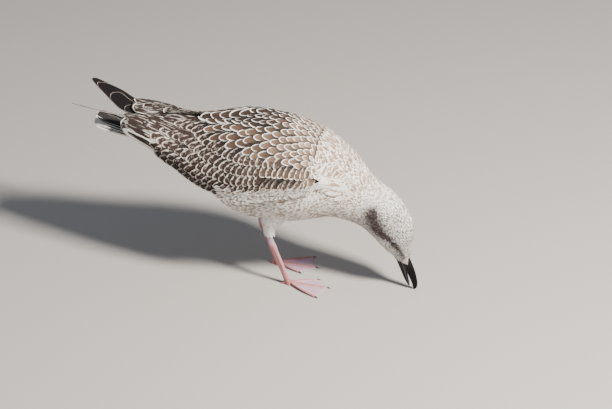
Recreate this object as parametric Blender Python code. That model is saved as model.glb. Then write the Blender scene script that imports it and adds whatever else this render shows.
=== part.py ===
"""Young herring gull pecking at the ground, life size, in one still pose.

Tables are in millimetres from a point on the floor midway between the two
heels: x forward, y to the bird's left, z up.  The model is then moved so the
centre of its bounding box stands over the origin.  The folded wings, the tail
and the legs are solids of their own; the body is one loft cut into head, neck
and trunk.
"""
import math

import bmesh
import bpy
import numpy as np

MM = 0.001
CENTRE_SHIFT = 50.8          # the heels stand this far ahead of the box centre
GAP = 0.3                    # clearance between neighbouring parts
BILL_OPENING = 7.5           # degrees between the two halves
EYE_RADIUS = 5.2
EYE_SHOWS = 1.6              # how far the eyeball stands out of the head
EYE_STATION = 11.15          # row of BODY where the eyes sit
EYE_ANGLE = 75.0             # degrees from the crown down to an eye
TOE_LENGTH = 61.0            # middle toe, heel to claw tip
TOE_BOW = 0.32               # share by which the toes spread wider at their roots
WEB_THICKNESS = 1.5
BLADE_THICKNESS = 2.2        # the closed stack of flight feathers in a wing tip
ANKLE_BACK = 2.2             # the shank meets the foot this far behind its middle
FAR_FOOT_BACK = 30.0         # the left foot stands this far behind the right

# Body stations: x, z of the middle line, depth above, depth below,
# half width, turn of the section towards the bird's right in degrees.
BODY = (
    (-205, 201.0, 7, 8, 20, 0),
    (-180, 197.0, 17, 16, 27, 0),
    (-140, 190.0, 33, 33, 39, 0),
    (-100, 182.0, 50, 51, 50, 0),
    (-55, 174.0, 70, 76, 62, 0),
    (-10, 168.0, 79, 75, 67, 0),
    (35, 163.0, 72, 68, 64, 0),
    (73, 151.7, 55.5, 53, 49, 1.5),
    (104.5, 134.0, 40, 36, 35, 5),
    (127.5, 118.0, 41.5, 29.5, 29, 9),
    (144, 98.0, 43.5, 24.5, 25, 12),
    (156.2, 78.4, 37, 19, 21.5, 14),
    (162.3, 67.8, 26, 16.5, 17.5, 14),
    (167.1, 57.8, 15.4, 12.4, 12.5, 13),
    (169.1, 48.7, 11, 10.4, 8.6, 12),
)
TAIL = (
    (-205, 201.0, 7, 8, 20, 0),
    (-222, 206.0, 5.5, 5, 24, 0),
    (-240, 211.0, 4.0, 3.5, 24.5, 0),
    (-257, 216.0, 2.6, 2.2, 22, 0),
    (-266, 219.0, 1.8, 1.5, 16, 0),
    (-271, 220.5, 1.2, 1.0, 8, 0),
)
RUMP_TO = 2.62
NECK_FROM = 7.55             # station numbers where the body loft is divided
HEAD_FROM = 10.0
BODY_TO = 14.0

# Folded right wing: x of the row, then y and z of five points from the upper
# edge on the back, over the shoulder, to the lower edge on the flank.
WING = (
    (63, -50, 196, -55, 191, -59, 186, -60, 180, -58, 174),
    (45, -40, 221, -54, 209, -65, 194, -70, 179, -65, 164),
    (0, -34, 238, -55, 223, -71, 202, -78, 179, -72, 156),
    (-55, -28, 244, -52, 230, -71, 204, -79, 174, -73, 146),
    (-105, -12, 238, -40, 226, -62, 208, -73, 182, -68, 158),
    (-148, -5, 236, -28, 228, -51, 216, -63, 199, -60, 182),
    (-185, -4, 231, -21, 236, -43, 230, -53, 217, -52, 203),
    (-212, -5, 229, -17, 236, -34, 236, -45, 227, -46, 216),
    (-224, -8, 231, -17, 236, -28, 237, -37, 232, -41, 225),
)
WING_DEPTH = (5.0, 9.0, 11.0, 12.0, 12.0, 9.0, 5.5, 3.5, 1.6)
TERTIALS_FROM = 5.35

# Wing tip blade: inner edge and outer edge, right side.
BLADE = (
    (-196, -4, 220, -190, -34, 226),
    (-233, -7, 225.5, -221, -30, 236),
    (-252, -16, 232.5, -244, -38, 243.5),
    (-268, -26, 240.5, -264, -42.5, 248.5),
    (-283, -37, 249, -282, -45, 253),
    (-293, -43.5, 255, -293, -45.5, 256),
)


def remove_everything():
    for thing in list(bpy.data.objects):
        bpy.data.objects.remove(thing, do_unlink=True)


def make_material(name, colour, roughness):
    """Plain Principled material of one colour."""
    material = bpy.data.materials.new(name)
    material.use_nodes = True
    shader = material.node_tree.nodes["Principled BSDF"]
    shader.inputs["Base Color"].default_value = (*colour, 1.0)
    shader.inputs["Roughness"].default_value = roughness
    material.diffuse_color = (*colour, 1.0)
    return material


def row_at(table, numbers):
    """Smooth Catmull-Rom reading of a table at fractional row numbers."""
    rows = np.asarray(table, float)
    last = len(rows) - 1
    padded = np.vstack([2 * rows[0] - rows[1], rows, 2 * rows[-1] - rows[-2]])
    numbers = np.atleast_1d(np.asarray(numbers, float))
    index = np.clip(numbers.astype(int), 0, last - 1)
    t = (numbers - index)[:, None]
    a, b, c, d = (padded[index + k] for k in range(4))
    return 0.5 * (2 * b + (c - a) * t + (2 * a - 5 * b + 4 * c - d) * t ** 2
                  + (3 * b - a - 3 * c + d) * t ** 3)


def section_frame(table, numbers):
    """Middle line, dorsal direction and left direction of each section."""
    rows = row_at(table, numbers)
    ahead = row_at(table, np.asarray(numbers) + 0.01)
    behind = row_at(table, np.asarray(numbers) - 0.01)
    middle = np.stack([rows[:, 0], 0 * rows[:, 0], rows[:, 1]], 1)
    line = np.stack([ahead[:, 0] - behind[:, 0], 0 * rows[:, 0], ahead[:, 1] - behind[:, 1]], 1)
    line *= np.sign(line[:, :1] @ np.ones((1, 1)) + 1e-12)
    line /= np.linalg.norm(line, axis=1)[:, None]
    left = np.tile([0.0, 1.0, 0.0], (len(rows), 1))
    dorsal = np.cross(line, left)
    turn = np.radians(rows[:, 5])[:, None]
    up = dorsal * np.cos(turn) - left * np.sin(turn)
    side = left * np.cos(turn) + dorsal * np.sin(turn)
    return rows, middle, up, side


def loft_rings(table, numbers, around):
    """Rings of a loft: rounded sections with their own depth above and below."""
    rows, middle, up, side = section_frame(table, numbers)
    angle = np.linspace(0, 2 * math.pi, around, endpoint=False)
    rise = np.sign(np.cos(angle)) * np.abs(np.cos(angle)) ** 0.94
    reach = np.sign(np.sin(angle)) * np.abs(np.sin(angle)) ** 0.94
    depth = np.where(np.cos(angle)[None, :] >= 0, rows[:, 2:3], rows[:, 3:4])
    return (middle[:, None, :] + up[:, None, :] * (depth * rise)[:, :, None]
            + side[:, None, :] * (rows[:, 4:5] * reach)[:, :, None])


def mesh_object(name, points, faces, material):
    """Object from points in millimetres, normals turned outward, shaded smooth."""
    points = np.asarray(points, float) + [CENTRE_SHIFT, 0, 0]
    mesh = bpy.data.meshes.new(name)
    mesh.from_pydata((points * MM).tolist(), [], [list(face) for face in faces])
    work = bmesh.new()
    work.from_mesh(mesh)
    bmesh.ops.recalc_face_normals(work, faces=work.faces)
    for face in work.faces:
        face.smooth = len(face.verts) < 7
    work.to_mesh(mesh)
    work.free()
    mesh.set_sharp_from_angle(angle=math.radians(50))
    mesh.materials.append(material)
    thing = bpy.data.objects.new(name, mesh)
    bpy.context.collection.objects.link(thing)
    return thing


def ring_solid(name, rings, material):
    """Closed body through a run of rings, with a flat cap at both ends."""
    count, around = rings.shape[:2]
    faces = []
    for i in range(count - 1):
        for j in range(around):
            k = (j + 1) % around
            faces.append((i * around + j, i * around + k, (i + 1) * around + k, (i + 1) * around + j))
    faces.append(tuple(range(around)))
    faces.append(tuple((count - 1) * around + j for j in reversed(range(around))))
    return mesh_object(name, rings.reshape(-1, 3), faces, material)


def sheet_normals(grid):
    along = np.gradient(grid, axis=0)
    across = np.gradient(grid, axis=1)
    normal = np.cross(along, across)
    return normal / np.maximum(np.linalg.norm(normal, axis=2), 1e-9)[:, :, None]


def sheet_solid(name, outer, inner, material):
    """Closed body between two matching grids."""
    rows, columns = outer.shape[:2]
    points = np.vstack([outer.reshape(-1, 3), inner.reshape(-1, 3)])
    back = rows * columns
    faces = []
    for i in range(rows - 1):
        for j in range(columns - 1):
            a, b = i * columns + j, i * columns + j + 1
            c, d = (i + 1) * columns + j + 1, (i + 1) * columns + j
            faces.append((a, b, c, d))
            faces.append((back + d, back + c, back + b, back + a))
    rim = [j for j in range(columns)]
    rim += [i * columns + columns - 1 for i in range(1, rows)]
    rim += [(rows - 1) * columns + j for j in reversed(range(columns - 1))]
    rim += [i * columns for i in reversed(range(1, rows - 1))]
    for a, b in zip(rim, rim[1:] + rim[:1]):
        faces.append((b, a, back + a, back + b))
    return mesh_object(name, points, faces, material)


def subtract(target, cutter, keep=False):
    """Exact difference, applied; the cutter is removed unless it is kept."""
    change = target.modifiers.new("cut", "BOOLEAN")
    change.operation = "DIFFERENCE"
    change.solver = "EXACT"
    change.object = cutter
    bpy.context.view_layer.objects.active = target
    with bpy.context.temp_override(object=target, active_object=target):
        bpy.ops.object.modifier_apply(modifier=change.name)
    if not keep:
        bpy.data.objects.remove(cutter, do_unlink=True)


def mirrored(points, left):
    return np.asarray(points, float) * ([1, -1, 1] if left else [1, 1, 1])


def wing_surface(first, last, rows, columns, lift=0.0):
    """Outer surface of the folded right wing between two row numbers."""
    table = row_at(WING, np.linspace(first, last, rows))
    spots = np.stack([table[:, 1::2], table[:, 2::2]], 2)
    place = np.linspace(0, 4, columns)
    grid = np.zeros((rows, columns, 3))
    for i in range(rows):
        yz = row_at(spots[i], place)
        grid[i, :, 0] = table[i, 0]
        grid[i, :, 1:] = yz
    normal = sheet_normals(grid)
    return grid + normal * lift


def wing_solid(name, left, first, last, material, rows, swell=0.0):
    """Folded wing as a thick curved plate; swell enlarges it for cutting."""
    columns = 11
    outer = wing_surface(first, last, rows, columns)
    numbers = np.linspace(first, last, rows)
    depth = np.interp(numbers, np.arange(len(WING_DEPTH)), WING_DEPTH)
    edge = np.sin(np.pi * np.linspace(0, 1, columns)) ** 0.5
    thick = 1.4 + (depth[:, None] - 1.4) * edge[None, :]
    inward = sheet_normals(outer)
    if (inward[rows // 2, columns // 2, 1]) < 0:
        inward = -inward
    inner = outer + inward * thick[:, :, None]
    if swell:
        outer, inner = outer - inward * 14.0, inner + inward * swell
        for grid in (outer, inner):
            for axis, side in ((0, 0), (0, -1), (1, 0), (1, -1)):
                edge_row = grid[side] if axis == 0 else grid[:, side]
                next_row = grid[1 if side == 0 else -2] if axis == 0 else grid[:, 1 if side == 0 else -2]
                step = edge_row - next_row
                size = np.maximum(np.linalg.norm(step, axis=-1), 1e-9)[..., None]
                moved = edge_row + step / size * swell
                if axis == 0:
                    grid[side] = moved
                else:
                    grid[:, side] = moved
    return sheet_solid(name, mirrored_grid(outer, left), mirrored_grid(inner, left), material)


def mirrored_grid(grid, left):
    return grid * ([1, -1, 1] if left else [1, 1, 1])


def blade_solid(name, left, material):
    """Wing tip: a thin tapering blade, its outer edge raised."""
    numbers = np.linspace(0, 5, 16)
    table = row_at(BLADE, numbers)
    t = np.linspace(0, 1, 5)[None, :, None]
    middle = table[:, None, :3] * (1 - t) + table[:, None, 3:] * t
    normal = sheet_normals(middle)
    half = 0.5 * BLADE_THICKNESS * np.interp(numbers, (0, 3, 5), (1.15, 0.9, 0.5))
    profile = 0.45 + 0.55 * np.sin(np.pi * np.linspace(0, 1, 5))
    offset = normal * (half[:, None] * profile[None, :])[:, :, None]
    return sheet_solid(name, mirrored_grid(middle + offset, left),
                       mirrored_grid(middle - offset, left), material)


def bill_frame():
    """Base point, direction to the tip, dorsal and left directions of the bill."""
    rows, middle, up, side = section_frame(BODY, [BODY_TO])
    tip = np.array([187.5, 2.0, 0.0])
    base = middle[0]
    line = tip - base
    length = np.linalg.norm(line)
    line /= length
    dorsal = up[0] - line * (up[0] @ line)
    dorsal /= np.linalg.norm(dorsal)
    return base, line, dorsal, np.cross(dorsal, line) * -1.0, length


def bill_half(name, upper, material):
    """One half of the bill: a tapering wedge with a flat cutting face."""
    base, line, dorsal, left, length = bill_frame()
    s = np.array([0, 0.2, 0.4, 0.55, 0.66, 0.74, 0.82, 0.88, 0.94, 1.0])
    if upper:
        reach = length
        ridge = np.interp(s, (0, 0.3, 0.52, 0.75, 0.9, 1.0), (10.3, 11.5, 11.0, 9.0, 6.2, 1.2))
        edge = np.interp(s, (0, 0.3, 0.6, 0.8, 0.92, 1.0), (0.4, 1.2, 1.5, 0.9, -0.4, -1.5))
        width = np.interp(s, (0, 0.3, 0.7, 0.9, 1.0), (6.8, 5.2, 3.3, 2.0, 0.7))
    else:
        reach = length * 0.90
        ridge = np.interp(s, (0, 0.3, 0.56, 0.8, 1.0), (-9.8, -7.9, -6.0, -3.7, -1.4))
        edge = np.interp(s, (0, 1.0), (-0.1, -0.1))
        width = np.interp(s, (0, 0.3, 0.7, 0.9, 1.0), (6.2, 4.6, 3.0, 2.0, 0.8))
    turn = 0.0 if upper else math.radians(BILL_OPENING)
    around = 13
    angle = np.linspace(0, math.pi, around)
    ends = row_at(BODY, [BODY_TO - 0.01, BODY_TO])
    facing = np.array([ends[1, 0] - ends[0, 0], 0.0, ends[1, 1] - ends[0, 1]])
    facing /= np.linalg.norm(facing)
    rings = np.zeros((len(s), around, 3))
    for i in range(len(s)):
        height = edge[i] + (ridge[i] - edge[i]) * np.sin(angle) ** 0.8
        sideways = width[i] * np.cos(angle)
        along = s[i] * reach + 0.4
        drop = height - along * math.sin(turn)
        rings[i] = base + line * along * math.cos(turn)
        rings[i] += dorsal * drop[:, None] + left * sideways[:, None]
        if i == 0:
            short = GAP + 0.05 - (rings[i] - base) @ facing
            rings[i] += line * (short / (line @ facing))[:, None]
    return ring_solid(name, rings, material)


def eye_place(left):
    """Centre and outward direction of an eye on the side of the head."""
    rows, middle, up, side = section_frame(BODY, [EYE_STATION])
    sign = 1.0 if left else -1.0
    angle = math.radians(EYE_ANGLE)
    outward = up[0] * math.cos(angle) + side[0] * math.sin(angle) * sign
    outward /= np.linalg.norm(outward)
    surface = middle[0] + up[0] * rows[0, 2] * math.cos(angle) + side[0] * rows[0, 4] * math.sin(angle) * sign
    return surface - outward * (EYE_RADIUS - EYE_SHOWS), outward


def ball(name, centre, radius, material, cuts=8):
    angle = np.linspace(0.2, math.pi - 0.2, cuts)
    rings = np.zeros((cuts, 14, 3))
    turn = np.linspace(0, 2 * math.pi, 14, endpoint=False)
    rings[:, :, 0] = centre[0] + radius * np.sin(angle)[:, None] * np.cos(turn)[None, :]
    rings[:, :, 1] = centre[1] + radius * np.sin(angle)[:, None] * np.sin(turn)[None, :]
    rings[:, :, 2] = centre[2] + radius * np.cos(angle)[:, None]
    return ring_solid(name, rings, material)


def tube(name, path, wide, deep, material, around=16, grow=0.0, level=None):
    """Tube along points; wide is across the bird, deep is fore and aft."""
    path = np.asarray(path, float)
    line = np.gradient(path, axis=0)
    line /= np.linalg.norm(line, axis=1)[:, None]
    across = np.cross(line, [1.0, 0.0, 0.0])
    across /= np.linalg.norm(across, axis=1)[:, None]
    fore = np.cross(across, line)
    turn = np.linspace(0, 2 * math.pi, around, endpoint=False)
    wide = np.asarray(wide, float) + grow
    deep = np.asarray(deep, float) + grow
    rings = (path[:, None, :] + across[:, None, :] * (wide[:, None] * np.cos(turn))[:, :, None]
             + fore[:, None, :] * (deep[:, None] * np.sin(turn))[:, :, None])
    if level is not None:
        rings[0] += line[0] * ((level - rings[0][:, 2]) / line[0][2])[:, None]
    return ring_solid(name, rings, material)


def leg_points(left):
    """Heel, hock and the upper end of the feathered thigh of one leg."""
    sign = 1.0 if left else -1.0
    back = FAR_FOOT_BACK if left else 0.0
    heel = np.array([12.8 - back, sign * 27.0, 6.2])
    hock = np.array([-10.6 - back, sign * 30.0, 61.0])
    root = np.array([-7.0 - back * 0.45, sign * 33.0, 112.0])
    return heel, hock, root


def shank(name, left, material):
    heel, hock, root = leg_points(left)
    t = np.array([0.0, 0.1, 0.2, 0.35, 0.6, 0.8, 0.88, 0.94, 1.0])
    ankle = heel - [ANKLE_BACK, 0, 0]
    path = ankle[None] * (1 - t[:, None]) + hock[None] * t[:, None]
    wide = np.interp(t, (0, 0.12, 0.3, 0.8, 0.93, 1), (3.4, 3.1, 2.8, 3.0, 3.9, 3.8))
    deep = np.interp(t, (0, 0.12, 0.3, 0.8, 0.93, 1), (4.5, 4.3, 4.3, 4.8, 5.4, 5.3))
    return tube(name, path, wide, deep, material, 12, level=heel[2])


def thigh(name, left, material, grow=0.0):
    heel, hock, root = leg_points(left)
    line = hock - heel + [ANKLE_BACK, 0, 0]
    line /= np.linalg.norm(line)
    start = hock + line * (GAP + 0.05)
    t = np.array([0.0, 0.08, 0.16, 0.23, 0.28, 0.34, 0.4, 0.5, 0.62, 0.8, 1.0])[:, None]
    path = start * (1 - t) ** 2 + (start + line * 24) * 2 * t * (1 - t) + root * t ** 2
    if grow:
        path[-1] += (path[-1] - path[-2]) / np.linalg.norm(path[-1] - path[-2]) * grow
    wide = np.interp(t[:, 0], (0, 0.1, 0.26, 0.4, 0.6, 1), (3.9, 4.6, 5.4, 6.8, 9.2, 15.0))
    deep = np.interp(t[:, 0], (0, 0.1, 0.26, 0.4, 0.6, 1), (5.5, 7.0, 7.8, 8.4, 10.4, 20.0))
    return tube(name, path, wide, deep, material, 16, grow)


def foot(name, left, material):
    """Webbed foot: three ridged toes joined by web, a small hind toe, flat sole."""
    sign = 1.0 if left else -1.0
    heel, hock, root = leg_points(left)
    angles = np.radians(np.concatenate([
        [-31, -28, -25, -19, -12, -5, -2.5, 0, 2.5, 5, 13, 22, 30, 33, 36],
        [56, 85, 120, 150, 165, 180, 195, 210, 240, 275, 310]]))
    degrees = np.degrees(angles)
    toe_angle = np.array([-28.0, 0.0, 33.0])
    toe_reach = TOE_LENGTH * np.array([0.74, 1.0, 0.97])
    reach = np.full(len(angles), 4.6)
    front = np.abs(degrees) <= 36.5
    web = np.interp(degrees[front], (-28, -14, 0, 16, 33), (0.92, 0.87, 0.94, 0.89, 0.93))
    full = np.interp(degrees[front], toe_angle, toe_reach)
    reach[front] = full * web
    for spot in toe_angle:
        near = np.exp(-((degrees[front] - spot) / 1.9) ** 2)
        reach[front] = np.maximum(reach[front], full * (web + (1.0 - web) * near))
    outside = np.clip(np.maximum(degrees[front] - 33.0, -28.0 - degrees[front]) / 3.0, 0, 1)
    reach[front] *= 1 - 0.04 * outside
    behind = (degrees >= 158) & (degrees <= 202)
    reach[behind] = 4.6 + 6.5 * np.exp(-((degrees[behind] - 180) / 11.0) ** 2)
    steps = np.array([0.14, 0.3, 0.5, 0.7, 0.82, 0.92, 1.0])
    top = np.zeros((len(steps), len(angles), 3))
    for i, step in enumerate(steps):
        r = reach * step
        height = np.full(len(angles), WEB_THICKNESS)
        for spot, length in zip(toe_angle, toe_reach):
            width = 2.9 - 1.3 * np.clip(r / length, 0, 1)
            offset = r * np.sin(np.radians(degrees - spot)) / width
            level = 4.9 - 2.2 * np.clip(r / length, 0, 1)
            ridge = level * np.sqrt(np.clip(1 - offset ** 2, 0, 1))
            height = np.where(front, np.maximum(height, ridge), height)
        height = np.where(front, height, 4.6 - 1.6 * step)
        hub = 5.9 * np.clip(1 - (r / 9.5) ** 2, 0, 1) ** 0.5
        height = np.maximum(height, hub)
        height = np.where(step > 0.999, np.minimum(height, 0.9), height)
        bowed = angles * np.where(front, 1 + TOE_BOW * (1 - step), 1.0)
        top[i, :, 0] = heel[0] + r * np.cos(bowed)
        top[i, :, 1] = heel[1] + sign * r * np.sin(bowed)
        top[i, :, 2] = height
    bottom = top[-1].copy()
    bottom[:, 2] = 0.0
    rings = np.concatenate([top, bottom[None]], 0)
    around = len(angles)
    points = [(heel[0], heel[1], 5.9)]
    points += rings.reshape(-1, 3).tolist()
    points.append((heel[0], heel[1], 0.0))
    faces = []
    for j in range(around):
        k = (j + 1) % around
        faces.append((0, 1 + j, 1 + k))
        for i in range(len(rings) - 1):
            faces.append((1 + i * around + j, 1 + (i + 1) * around + j,
                          1 + (i + 1) * around + k, 1 + i * around + k))
        faces.append((len(points) - 1, 1 + (len(rings) - 1) * around + k, 1 + (len(rings) - 1) * around + j))
    return mesh_object(name, points, faces, material)


def floor_level(thing):
    """Trim whatever reaches below the floor to a small flat."""
    bpy.ops.mesh.primitive_cube_add(size=0.1, location=(0.24, 0.0, -0.05))
    subtract(thing, bpy.context.active_object)


def build():
    remove_everything()
    down = make_material("head_feather", (0.72, 0.69, 0.65), 0.85)
    mantle = make_material("body_feather", (0.52, 0.46, 0.40), 0.85)
    rump_colour = make_material("rump_feather", (0.56, 0.51, 0.45), 0.85)
    wing_colour = make_material("wing_feather", (0.30, 0.24, 0.19), 0.8)
    tip_colour = make_material("flight_feather", (0.02, 0.02, 0.022), 0.6)
    tail_colour = make_material("tail_feather", (0.42, 0.38, 0.34), 0.75)
    horn = make_material("bill_horn", (0.02, 0.02, 0.022), 0.3)
    skin = make_material("leg_skin", (0.72, 0.46, 0.42), 0.5)
    eye_colour = make_material("eye", (0.015, 0.01, 0.008), 0.05)

    seam = 0.006
    rump = ring_solid("rump", loft_rings(BODY, np.linspace(0, RUMP_TO - seam, 9), 28), rump_colour)
    trunk = ring_solid("trunk", loft_rings(BODY, np.linspace(RUMP_TO + seam, NECK_FROM - seam, 17), 28), mantle)
    ring_solid("neck", loft_rings(BODY, np.linspace(NECK_FROM + seam, HEAD_FROM - 0.009, 8), 28), down)
    head = ring_solid("head", loft_rings(BODY, np.linspace(HEAD_FROM + 0.009, BODY_TO, 13), 28), down)
    root = loft_rings(BODY, [0.0], 20)
    facing = np.cross(root[0, 5] - root[0, 0], root[0, 10] - root[0, 0])
    facing *= -np.sign(facing[0]) / np.linalg.norm(facing)
    tail = np.concatenate([root + facing * (GAP + 0.05), loft_rings(TAIL, np.linspace(0.25, 5, 10), 20)])
    ring_solid("tail", tail, tail_colour)

    for left in (False, True):
        side = "left" if left else "right"
        subtract(trunk, wing_solid("cutter", left, 0, 8, mantle, 22, GAP))
        subtract(rump, wing_solid("cutter", left, 0, 8, mantle, 22, GAP))
        subtract(trunk, thigh("cutter", left, mantle, GAP))
        wing_solid("wing_" + side, left, 0, TERTIALS_FROM - 0.006, wing_colour, 15)
        wing_solid("tertials_" + side, left, TERTIALS_FROM + 0.006, 8, wing_colour, 9)
        blade = blade_solid("wing_tip_" + side, left, tip_colour)
        subtract(blade, wing_solid("cutter", left, TERTIALS_FROM, 8, mantle, 9, GAP))
        thigh("thigh_" + side, left, mantle)
        shank("shank_" + side, left, skin)
        foot("foot_" + side, left, skin)
        centre, outward = eye_place(left)
        ball("eye_" + side, centre, EYE_RADIUS, eye_colour)
        subtract(head, ball("cutter", centre, EYE_RADIUS + GAP, down))
    floor_level(bill_half("bill_upper", True, horn))
    bill_half("bill_lower", False, horn)


build()
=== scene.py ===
"""Young herring gull pecking at the ground: skin, plumage, bill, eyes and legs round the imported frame."""
import math

import bpy
import numpy as np
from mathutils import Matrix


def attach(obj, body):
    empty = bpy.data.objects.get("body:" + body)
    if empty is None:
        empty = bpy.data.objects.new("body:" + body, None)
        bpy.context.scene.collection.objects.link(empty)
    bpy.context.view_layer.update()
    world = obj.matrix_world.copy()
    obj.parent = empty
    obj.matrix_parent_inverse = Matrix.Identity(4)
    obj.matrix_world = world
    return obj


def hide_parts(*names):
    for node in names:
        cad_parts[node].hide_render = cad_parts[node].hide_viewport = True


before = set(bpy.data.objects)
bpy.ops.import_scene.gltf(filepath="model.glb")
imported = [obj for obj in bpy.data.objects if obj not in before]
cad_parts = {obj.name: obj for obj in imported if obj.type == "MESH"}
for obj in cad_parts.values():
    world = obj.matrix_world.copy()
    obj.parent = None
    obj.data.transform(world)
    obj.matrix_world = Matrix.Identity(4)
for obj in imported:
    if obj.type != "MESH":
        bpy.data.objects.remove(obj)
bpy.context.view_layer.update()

# ---------------------------------------------------------------- the skin
# One continuous skin under the plumage, from the bill's base to the root of the tail.
# It lies inside the solids by the depth of the coat and carries the same markings, and the same painted shade
# on the throat and face.

BODY = (
    (-205, 201.0, 7, 8, 20, 0),
    (-180, 197.0, 17, 16, 27, 0),
    (-140, 190.0, 33, 33, 39, 0),
    (-100, 182.0, 50, 51, 50, 0),
    (-55, 174.0, 70, 76, 62, 0),
    (-10, 168.0, 79, 75, 67, 0),
    (35, 163.0, 72, 68, 64, 0),
    (73, 151.7, 55.5, 53, 49, 1.5),
    (104.5, 134.0, 40, 36, 35, 5),
    (127.5, 118.0, 41.5, 29.5, 29, 9),
    (144, 98.0, 43.5, 24.5, 25, 12),
    (156.2, 78.4, 37, 19, 21.5, 14),
    (162.3, 67.8, 26, 16.5, 17.5, 14),
    (167.1, 57.8, 15.4, 12.4, 12.5, 13),
    (169.1, 48.7, 11, 10.4, 8.6, 12),
)


def read_table(table, numbers):
    """Rows of a table at fractional row numbers.

    A smooth curve passes through the rows; its slope at a row is half the
    step from the row before to the row after.
    """
    rows = np.asarray(table, float)
    last = len(rows) - 1
    padded = np.vstack([2 * rows[0] - rows[1], rows, 2 * rows[-1] - rows[-2]])
    numbers = np.asarray(numbers, float)
    index = np.clip(numbers.astype(int), 0, last - 1)
    t = (numbers - index)[..., None]
    a, b, c, d = (padded[index + k] for k in range(4))
    return 0.5 * (2 * b + (c - a) * t + (2 * a - 5 * b + 4 * c - d) * t ** 2
                  + (3 * b - a - 3 * c + d) * t ** 3)


# The point between the heels stands this many millimetres ahead of the frame's own origin.
HEELS = np.array([50.8, 0.0, 0.0])


def into_frame(points):
    """Millimetres from between the heels, to metres in the frame."""
    return (np.asarray(points, float) + HEELS) * 0.001


def out_of_frame(points):
    """Metres in the frame, to millimetres from between the heels."""
    return points * 1000 - HEELS


SECTION_POWER = 0.94


def body_surface(station, angle, depth):
    """Body points for every pair of station and angle, sunk by a depth in millimetres.

    A section is an oval, cosine and sine of the angle each to SECTION_POWER,
    with its own height above and below the middle line; its crown turns to
    the bird's right along the neck.
    """
    rows = read_table(BODY, station)
    step = read_table(BODY, np.minimum(station + 0.01, 14)) - read_table(BODY, station - 0.01)
    middle = np.stack([rows[:, 0], 0 * rows[:, 0], rows[:, 1]], 1)
    line = np.stack([step[:, 0], 0 * step[:, 0], step[:, 1]], 1)
    line /= np.linalg.norm(line, axis=1)[:, None]
    dorsal = np.cross(line, [0.0, 1.0, 0.0])
    turn = np.radians(rows[:, 5])[:, None]
    left = np.array([[0.0, 1.0, 0.0]])
    up = dorsal * np.cos(turn) - left * np.sin(turn)
    side = left * np.cos(turn) + dorsal * np.sin(turn)
    rise = np.sign(np.cos(angle)) * np.abs(np.cos(angle)) ** SECTION_POWER
    reach = np.sign(np.sin(angle)) * np.abs(np.sin(angle)) ** SECTION_POWER
    tall = np.where(np.cos(angle)[None] >= 0, rows[:, 2:3], rows[:, 3:4]) - depth[:, None]
    wide = rows[:, 4:5] - depth[:, None]
    points = (middle[:, None] + up[:, None] * (tall * rise)[..., None]
              + side[:, None] * (wide * reach)[..., None])
    return into_frame(points)


def sample(points, a, b, away=None):
    """A surface kept as a grid of samples, with its slopes and outward normals.

    The normals are turned over together if they look against the way called
    away, or, without one, against the ways out from each row's own middle.
    """
    slope_a = np.gradient(points, a, axis=0)
    slope_b = np.gradient(points, b, axis=1)
    normal = np.cross(slope_a, slope_b)
    normal /= np.maximum(np.linalg.norm(normal, axis=2), 1e-12)[..., None]
    if (normal * (points - points.mean(1, keepdims=True) if away is None else away)).sum() < 0:
        normal = -normal
    return {"points": points, "slope_a": slope_a, "slope_b": slope_b, "normal": normal, "a": a, "b": b}


def look_up(sheet, kind, a, b):
    """One of a sheet's grids at places (a, b), read between its four nearest samples."""
    rows, columns = len(sheet["a"]), len(sheet["b"])
    x = (a - sheet["a"][0]) / (sheet["a"][-1] - sheet["a"][0]) * (rows - 1)
    y = (b - sheet["b"][0]) / (sheet["b"][-1] - sheet["b"][0]) * (columns - 1)
    x, y = np.clip(x, 0, rows - 1.001), np.clip(y, 0, columns - 1.001)
    i, j = x.astype(int), y.astype(int)
    s, t = (x - i)[..., None], (y - j)[..., None]
    grid = sheet[kind]
    return ((grid[i, j] * (1 - t) + grid[i, j + 1] * t) * (1 - s)
            + (grid[i + 1, j] * (1 - t) + grid[i + 1, j + 1] * t) * s)


def on_sheet(sheet, a, b):
    """Points of a sheet; past an edge it goes on straight along its slope there."""
    held_a = np.clip(a, sheet["a"][0], sheet["a"][-1])
    held_b = np.clip(b, sheet["b"][0], sheet["b"][-1])
    return (look_up(sheet, "points", a, b)
            + look_up(sheet, "slope_a", a, b) * (a - held_a)[..., None]
            + look_up(sheet, "slope_b", a, b) * (b - held_b)[..., None])


def into_scene(name, data):
    """An object round a mesh, a lamp or a camera."""
    thing = bpy.data.objects.new(name, data)
    bpy.context.collection.objects.link(thing)
    return thing


def smooth_mesh(name, points, faces):
    """A smoothly shaded mesh from its points and faces."""
    mesh = bpy.data.meshes.new(name)
    mesh.from_pydata(points.reshape(-1, 3).tolist(), [], faces)
    mesh.shade_smooth()
    return into_scene(name, mesh)


def quads(corner):
    """Faces of four between the neighbouring numbers of a grid, or of many grids at once."""
    return np.stack([corner[..., :-1, :-1], corner[..., :-1, 1:],
                     corner[..., 1:, 1:], corner[..., 1:, :-1]], -1)


def ring_mesh(name, points, caps=()):
    """A mesh over rows of points that each run round a ring, with any caps as further faces."""
    rows, around = points.shape[:2]
    corner = np.arange(rows * around).reshape(rows, around)
    corner = np.concatenate([corner, corner[:, :1]], 1)
    return smooth_mesh(name, points, quads(corner).reshape(-1, 4).tolist() + list(caps))


def coat_depth(station):
    """Depth of the plumage in millimetres: thin on the face, deepest on the trunk."""
    return np.interp(station, (0, 2, 7.2, 8.8, 10.2, 12.5, 14), (1.8, 2.2, 2.2, 1.7, 1.1, 0.8, 0.3))


def mix(colour_a, colour_b, t):
    """Blend of two colours, one result for each t."""
    t = np.asarray(t, float)[..., None]
    return np.asarray(colour_a) * (1 - t) + np.asarray(colour_b) * t


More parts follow.
